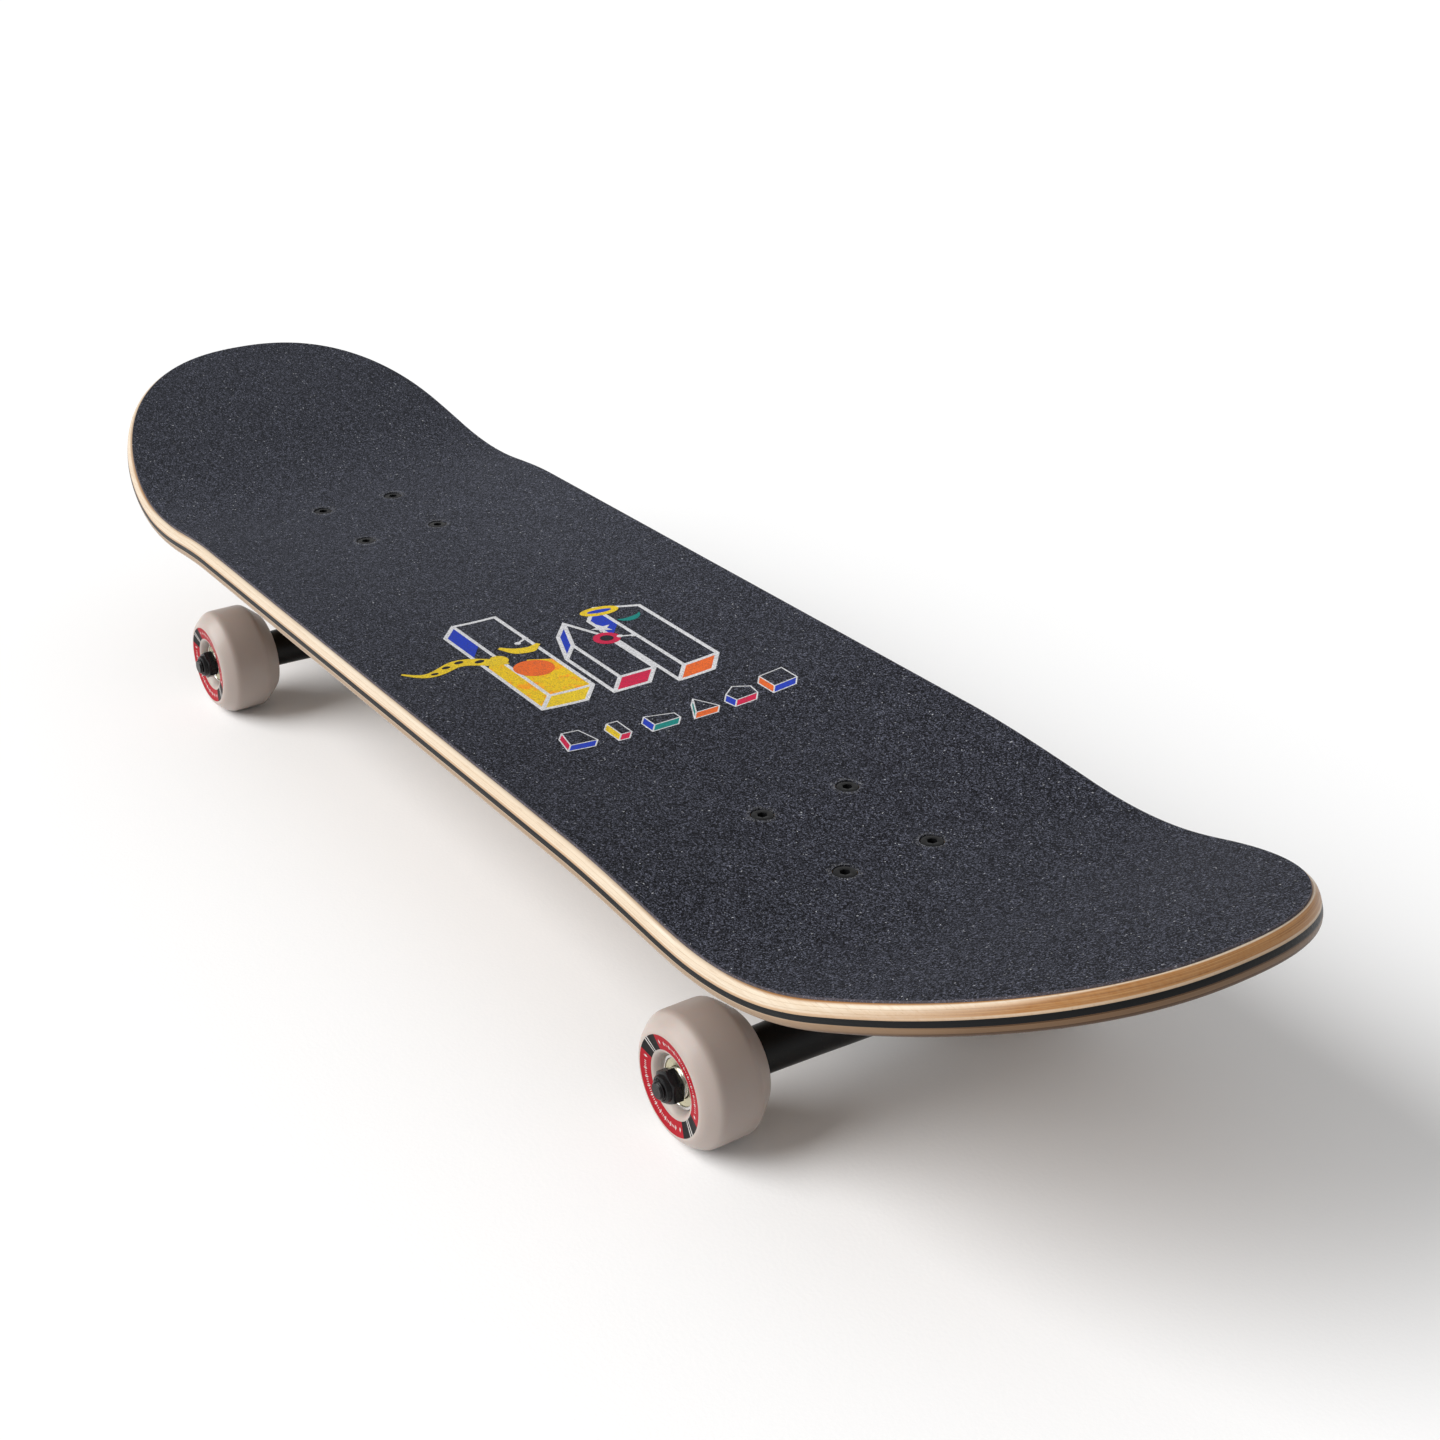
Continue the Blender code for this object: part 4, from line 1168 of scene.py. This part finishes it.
# %% Speed washers
for which, low, high in (("outer", 92.35, 93.25), ("inner", 67.55, 68.25)):
    rim = [(6.1, low), (6.25, low + 0.15), (6.25, high - 0.15), (6.1, high)]
    washer = smooth(turn("washer_master", [(4.2, low)] + rim + [(4.2, high), (4.2, low)], 64), 30)
    fit_wheels(washer, f"{which}_speed_washer", ZINC, "zinc_steel", "{end}_hanger_set", False)

# %% [markdown]
# ## Nuts, axles and bolts
# A lock nut is a hexagon with its corners turned off and a nylon collar pressed into its top. So it is made
# that way: a six-sided bar is crossed with a turned barrel, joined to a turned collar, and bored through. A
# thread shows as a row of fine ridges: at this size a ring for each turn reads the same as a helix.


# %% Lock nuts and threads
def lock_nut(name, flats, height, bore):
    """A nut that stands on its washer face at height 0, with the collar on top."""
    corner = flats / 2 / math.cos(math.pi / 6)
    body_top = height * 0.74
    nut = prism(name, 6, corner, 0, body_top)
    wide = corner * 1.01
    cut = [(flats * 0.46, -0.01), (wide, 0.6), (wide, body_top - 0.75), (flats * 0.455, body_top + 0.01)]
    combine(nut, turn("barrel", cut, 72), "INTERSECT")
    collar = [
        (bore, body_top - 0.4), (flats * 0.43, body_top - 0.4), (flats * 0.43, height - 0.7),
        (flats * 0.41, height - 0.25), (flats * 0.37, height), (bore + 0.5, height), (bore, height - 0.4),
        (bore, body_top - 0.4),
    ]
    combine(nut, turn("collar", collar, 72), "UNION")
    combine(nut, turn("bore", [(bore, -1), (bore, height + 1)], 48))
    return soften(nut, 0.12, 2, 40)


def thread(radius, low, high, pitch, depth):
    """Profile points for a threaded length, from high to low."""
    points = []
    height = high
    while height - pitch > low:
        points += [(radius - depth, height), (radius, height - pitch * 0.35), (radius, height - pitch * 0.6)]
        height -= pitch
    return points + [(radius - depth, height), (radius - depth, low)]


# %% Axles and axle nuts
AXLE_RADIUS = 3.95
half_axle = [(0.6, 101.95), (3.1, 101.95), (3.6, 101.4)] + thread(AXLE_RADIUS, 90.5, 101.2, 0.9, 0.45)
half_axle += [(AXLE_RADIUS, 90.0)]
axle_profile = half_axle + [(radius, -height) for radius, height in reversed(half_axle)]
axle = smooth(turn("axle_master", axle_profile, 48), 30)
fit_trucks(axle, ALONG_AXLE, "axle", BLACK_STEEL, "black_hardware", "{end}_hanger_set")
axle_nut = move(lock_nut("axle_nut_master", 12.7, 6.9, 4.05), Matrix.Translation((0, 0, 93.35 * MM)))
fit_wheels(axle_nut, "axle_nut", BLACK_STEEL, "black_hardware", "{end}_hanger_set")

# %% Deck bolts and their nuts
BOLT_HEAD = 4.6
bolt_profile = [
    (0.6, -0.1), (4.2, -0.1), (4.5, -0.22), (BOLT_HEAD, -0.45), (BOLT_HEAD, -0.7), (2.35, -2.9), (2.3, -3.4),
]
bolt = turn("bolt_master", bolt_profile + thread(2.3, -25.2, -9.0, 0.8, 0.3), 36)
combine(bolt, prism("socket", 6, 2.15, -2.2, 1))
soften(bolt, 0.1, 2, 40)
nut = lock_nut("deck_nut_master", 9.5, 5.4, 2.4)
flip = Matrix.Rotation(math.pi, 4, "X")
for node in BOLTS:
    nut_node = node.replace("deck_bolt", "lock_nut")
    low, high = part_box(nut_node)
    head = bolt_centre(node)
    piece = copy_piece(bolt, f"{node}_piece", Matrix.Translation(head))
    dress(piece, BLACK_STEEL, "black_hardware", "board", node)
    seat = Matrix.Translation(((low.x + high.x) / 2, (low.y + high.y) / 2, high.z))
    piece = copy_piece(nut, f"{nut_node}_piece", seat @ flip)
    dress(piece, BLACK_STEEL, "black_hardware", "board", nut_node)
bpy.data.objects.remove(bolt)
bpy.data.objects.remove(nut)
print("bolt head height:", round(bolt_centre(BOLTS[0]).z / MM, 2), "mm")

# %% [markdown]
# ## Cast trucks
# The hanger and the baseplate are castings, and a casting has no sharp corners: every edge is rounded and
# every inside corner has a fillet. So rough shapes are joined first, and a voxel remesh melts them into one
# skin, which Smooth relaxes. The machined places come last, cut crisply into the soft skin.


# %% Casting tools
def cast(name, pieces, voxel=0.75, passes=8):
    obj = join(name, pieces)
    apply_modifier(obj, "REMESH", mode="VOXEL", voxel_size=voxel * MM, use_smooth_shade=True)
    return apply_modifier(obj, "SMOOTH", factor=0.5, iterations=passes)


def taper(obj, low, high, scale):
    """Scale the points of a block across Y, from 1 at the low height to a share at the high one."""
    for vert in obj.data.vertices:
        share = (vert.co.z / MM - low) / (high - low)
        vert.co.y *= 1 + (scale - 1) * share
    return obj


# %% Cast the hanger
half_barrel = [(8.6, 69), (9.3, 66.5), (9.5, 63), (9.8, 48), (10.2, 34), (10.7, 20), (11.2, 6)]
barrel = turn("barrel", half_barrel + [(radius, -height) for radius, height in reversed(half_barrel)], 64)
move(barrel, ALONG_AXLE)
arm = taper(block("arm", (-6, -15, 0), (6, 15, 33)), 0, 33, 0.5)
gusset = taper(block("gusset", (-3.4, -46, 2), (3.4, 46, 32)), 2, 32, 0.2)
for piece in (arm, gusset):
    move(piece, Matrix.Rotation(math.radians(12), 4, "Y"))
pivot_profile = [(1.2, 4.85), (2.5, 4.33), (4.33, 2.5), (5, 0), (5, -6), (7.2, -16), (7.2, -18)]
pivot = move(turn("pivot", pivot_profile, 48), ON_STEERING)
web = move(block("web", (4, -14.5, -5), (33, 14.5, 5)), ON_KINGPIN)
ring = move(turn("ring", [(16.2, 5), (16.5, 4), (16.5, -4), (16.2, -5)], 72), ON_KINGPIN)
hanger = cast("hanger_master", [barrel, arm, gusset, pivot, web, ring])
bores = [
    (ALONG_AXLE, [(4.25, 80), (4.25, -80)]),
    (ON_KINGPIN, [(6.0, 15), (6.0, -15)]),
    (ON_KINGPIN, [(12.2, 19), (12.2, 4.9), (11.5, 4.2), (11.4, 3.0)]),
    (ON_KINGPIN, [(11.4, -3.0), (11.5, -4.2), (12.2, -4.9), (12.2, -19)]),
    (ALONG_AXLE, [(14, 80), (14, 67.5)]),
    (ALONG_AXLE, [(14, -67.5), (14, -80)]),
]
for matrix, profile in bores:
    combine(hanger, move(turn("cutter", profile, 64), matrix))
smooth(hanger, 40)
print("hanger faces:", len(hanger.data.polygons))
fit_trucks(hanger, Matrix(), "hanger", TRUCK_PAINT, "truck_black", "{end}_hanger_set")

# %% Cast the baseplate
BOLT_MIDDLE = BOLT_PITCH_LONG / 2 - 48.5
PLATE_TOP, PLATE_THICKNESS = 56.9, 5.0
SEAT_PLANE = 19.5
plate = block("plate", (-57, -28, PLATE_TOP - PLATE_THICKNESS), (31, 28, PLATE_TOP + 3))
pick(plate)
bpy.ops.object.mode_set(mode="EDIT")
bpy.ops.mesh.select_all(action="DESELECT")
bpy.ops.object.mode_set(mode="OBJECT")
for edge in plate.data.edges:
    first, second = (plate.data.vertices[index].co for index in edge.vertices)
    edge.select = abs(first.z - second.z) > MM
bpy.ops.object.mode_set(mode="EDIT")
bpy.ops.mesh.bevel(offset=8 * MM, segments=6)
bpy.ops.object.mode_set(mode="OBJECT")
boss = move(turn("boss", [(13, 60), (13, 30), (11.6, SEAT_PLANE)], 64), ON_KINGPIN)
pivot_boss = move(turn("pivot_boss", [(11.5, 9), (11.5, -5.3)], 64), ON_STEERING)
link = block("link", (18, -11, 43), (29, 11, 56))
ribs = [block("rib", (-50, side * 11 - 1.8, 47.5), (22, side * 11 + 1.8, 54)) for side in (-1, 1)]
baseplate = cast("baseplate_master", [plate, boss, pivot_boss, link] + ribs)
deck_side = block("deck_side", (-70, -40, PLATE_TOP), (40, 40, 90))
seat_cut = move(turn("seat_cut", [(15, SEAT_PLANE), (15, 5)], 48), ON_KINGPIN)
kingpin_hole = move(turn("kingpin_hole", [(5, 70), (5, 0)], 48), ON_KINGPIN)
head_pocket = move(turn("head_pocket", [(9, 75), (9, 38)], 48), ON_KINGPIN)
cup_hole = move(turn("cup_hole", [(8.1, 7.3), (8.1, -14)], 48), ON_STEERING)
for cutter in (deck_side, seat_cut, kingpin_hole, head_pocket, cup_hole):
    combine(baseplate, cutter)
for long in (-1, 1):
    for wide in (-1, 1):
        hole = turn("plate_hole", [(2.6, 70), (2.6, 40)], 36)
        place_x = BOLT_MIDDLE + long * BOLT_PITCH_LONG / 2
        move(hole, Matrix.Translation((place_x * MM, wide * BOLT_PITCH_WIDE / 2 * MM, 0)))
        combine(baseplate, hole)
smooth(baseplate, 40)
print("baseplate faces:", len(baseplate.data.polygons))
fit_trucks(baseplate, Matrix(), "baseplate", TRUCK_PAINT, "truck_black")

# %% [markdown]
# ## The steering stack
# Between baseplate and hanger, two urethane bushings squeeze the hanger's ring, with cupped washers outside
# them and the kingpin through the middle. The pivot at the other end rests in a plastic cup. These are all
# turned pieces, with the lips and rolled edges that the real ones get from their moulds and presses.

# %% Turn the stack
stack = {
    "kingpin": (
        [(0.8, 44.3), (6.6, 44.3), (7.3, 43.8), (7.5, 43.2), (7.5, 38.35), (4.7, 38.3), (4.7, -12)]
        + thread(4.7, -27.2, -12.5, 1.25, 0.5)
        + [(3.8, -28)],
        ZINC,
        "zinc_steel",
    ),
    "upper_washer": (
        [(5, 17.95), (9.2, 17.95), (10.3, 17.95), (10.7, 18.2), (10.8, 18.6), (10.7, 19.0), (10.3, 19.15),
         (5, 19.15), (5, 17.95)],
        ZINC,
        "zinc_steel",
    ),
    "lower_washer": (
        [(5, -16.35), (8.8, -16.35), (9.3, -16.6), (9.5, -17.0), (9.3, -17.4), (8.8, -17.6), (5, -17.6),
         (5, -16.35)],
        ZINC,
        "zinc_steel",
    ),
    "upper_bushing": (
        [(5, 17.55), (9.4, 17.55), (10.3, 17.3), (10.8, 16.8), (11.0, 16.0), (11.0, 14.9), (10.6, 14.5),
         (10.6, 6.2), (11.0, 5.8), (11.0, 3.9), (10.7, 3.35), (5, 3.35), (5, 17.55)],
        BUSHING,
        "bushing_urethane",
    ),
    "lower_bushing": (
        [(5, -3.35), (10.7, -3.35), (11.0, -3.9), (11.0, -6.0), (10.7, -6.8), (9.4, -14.6), (9.0, -15.5),
         (8.4, -15.9), (5, -15.9), (5, -3.35)],
        BUSHING,
        "bushing_urethane",
    ),
}
for piece, (profile, material, slot) in stack.items():
    master = smooth(turn("stack_master", profile, 72), 30)
    fit_trucks(master, ON_KINGPIN, piece, material, slot)
kingpin_nut = lock_nut("kingpin_nut_master", 14.3, 7.9, 4.8)
below_washer = ON_KINGPIN @ Matrix.Translation((0, 0, -17.95 * MM)) @ flip
fit_trucks(kingpin_nut, below_washer, "kingpin_nut", ZINC, "zinc_steel")
cup_profile = [
    (1.0, 7.0), (7.2, 7.0), (7.8, 6.4), (7.8, -4.4), (7.4, -5.0), (5.9, -5.0), (5.4, -4.4), (5.4, 1.5),
    (4.6, 4.2), (2.6, 5.3), (1.0, 5.5),
]
cup = smooth(turn("cup_master", cup_profile, 64), 30)
fit_trucks(cup, ON_STEERING, "pivot_cup", BUSHING, "bushing_urethane")

# %% [markdown]
# ## Finish for the pieces that stay
# The bearing spacers keep their CAD shape, because they are hidden inside the wheels and plain tubes. They
# still get a proper finish, the zinc plate.

# %% Dress the remaining nodes
for sub in frame["record"]["subparts"]:
    if sub["node"].endswith("bearing_spacer"):
        for material_slot in bpy.data.objects[sub["node"]].material_slots:
            material_slot.link = "OBJECT"
            material_slot.material = ZINC
        print("kept", sub["node"])

# %% [markdown]
# ## Floor, light and camera
# A plain pale floor and one wide, soft key light make a studio. The key comes from high beside the near
# wheels, so the rail is bright and the nose falls into shade. The world adds an even light from all round,
# and behind the floor the camera sees plain white.


# %% Floor
def build_floor():
    deselect_all()
    bpy.ops.mesh.primitive_grid_add(x_subdivisions=8, y_subdivisions=8, size=40)
    floor = bpy.context.object
    floor.name = "studio_floor"
    material, tree, shader, place = new_material("floor_paint", Roughness=0.9)
    cloud = noise(tree, place, 1.2, 3.0)
    colour = blend_colours(tree, cloud, (0.93, 0.93, 0.93, 1), (0.91, 0.91, 0.91, 1))
    tree.links.new(colour, shader.inputs["Base Color"])
    bump(tree, shader, noise(tree, place, 600.0, 2.0), 0.00005)
    floor.data.materials.append(material)


build_floor()


# %% Key light
def soft_key(name, direction, spread, strength):
    """Light from a far, wide source, so that the whole floor gets the same."""
    light = bpy.data.lights.new(name, "SUN")
    light.angle = math.radians(spread)
    light.energy = strength
    obj = bpy.data.objects.new(name, light)
    bpy.context.scene.collection.objects.link(obj)
    obj.rotation_euler = Vector(direction).to_track_quat("Z", "Y").to_euler()
    return obj


soft_key("key_light", (-0.36, -0.71, 0.60), 50, 3.3)
world = bpy.data.worlds.new("studio_world")
world.use_nodes = True
room = world.node_tree
light = room.nodes["Background"]
light.inputs["Color"].default_value = (1, 1, 1, 1)
light.inputs["Strength"].default_value = 0.5
backdrop = add_node(room, "Background", {"Color": (1, 1, 1, 1), "Strength": 1.0})
seen = add_node(room, "LightPath").outputs["Is Camera Ray"]
chosen = add_node(room, "MixShader", {0: seen, 1: light.outputs[0], 2: backdrop.outputs[0]})
room.links.new(chosen.outputs[0], room.nodes["World Output"].inputs["Surface"])
bpy.context.scene.world = world
bpy.context.scene.view_settings.view_transform = "Standard"

# %% Camera
LENS, SENSOR = 52.883, 36.0
camera_data = bpy.data.cameras.new("camera")
camera_data.lens = LENS
camera_data.sensor_width = SENSOR
camera_data.clip_start = 0.05
camera = bpy.data.objects.new("camera", camera_data)
bpy.context.scene.collection.objects.link(camera)
forward = Vector((-0.75196, 0.49218, -0.43853)).normalized()
right = Vector((0.552793, 0.833221, -0.012725))
right = (right - forward * right.dot(forward)).normalized()
above = right.cross(forward)
camera.matrix_world = Matrix.Translation((0.771474, -0.431170, 0.491661)) @ Matrix(
    ((right.x, above.x, -forward.x), (right.y, above.y, -forward.y), (right.z, above.z, -forward.z))
).to_4x4()
bpy.context.scene.camera = camera
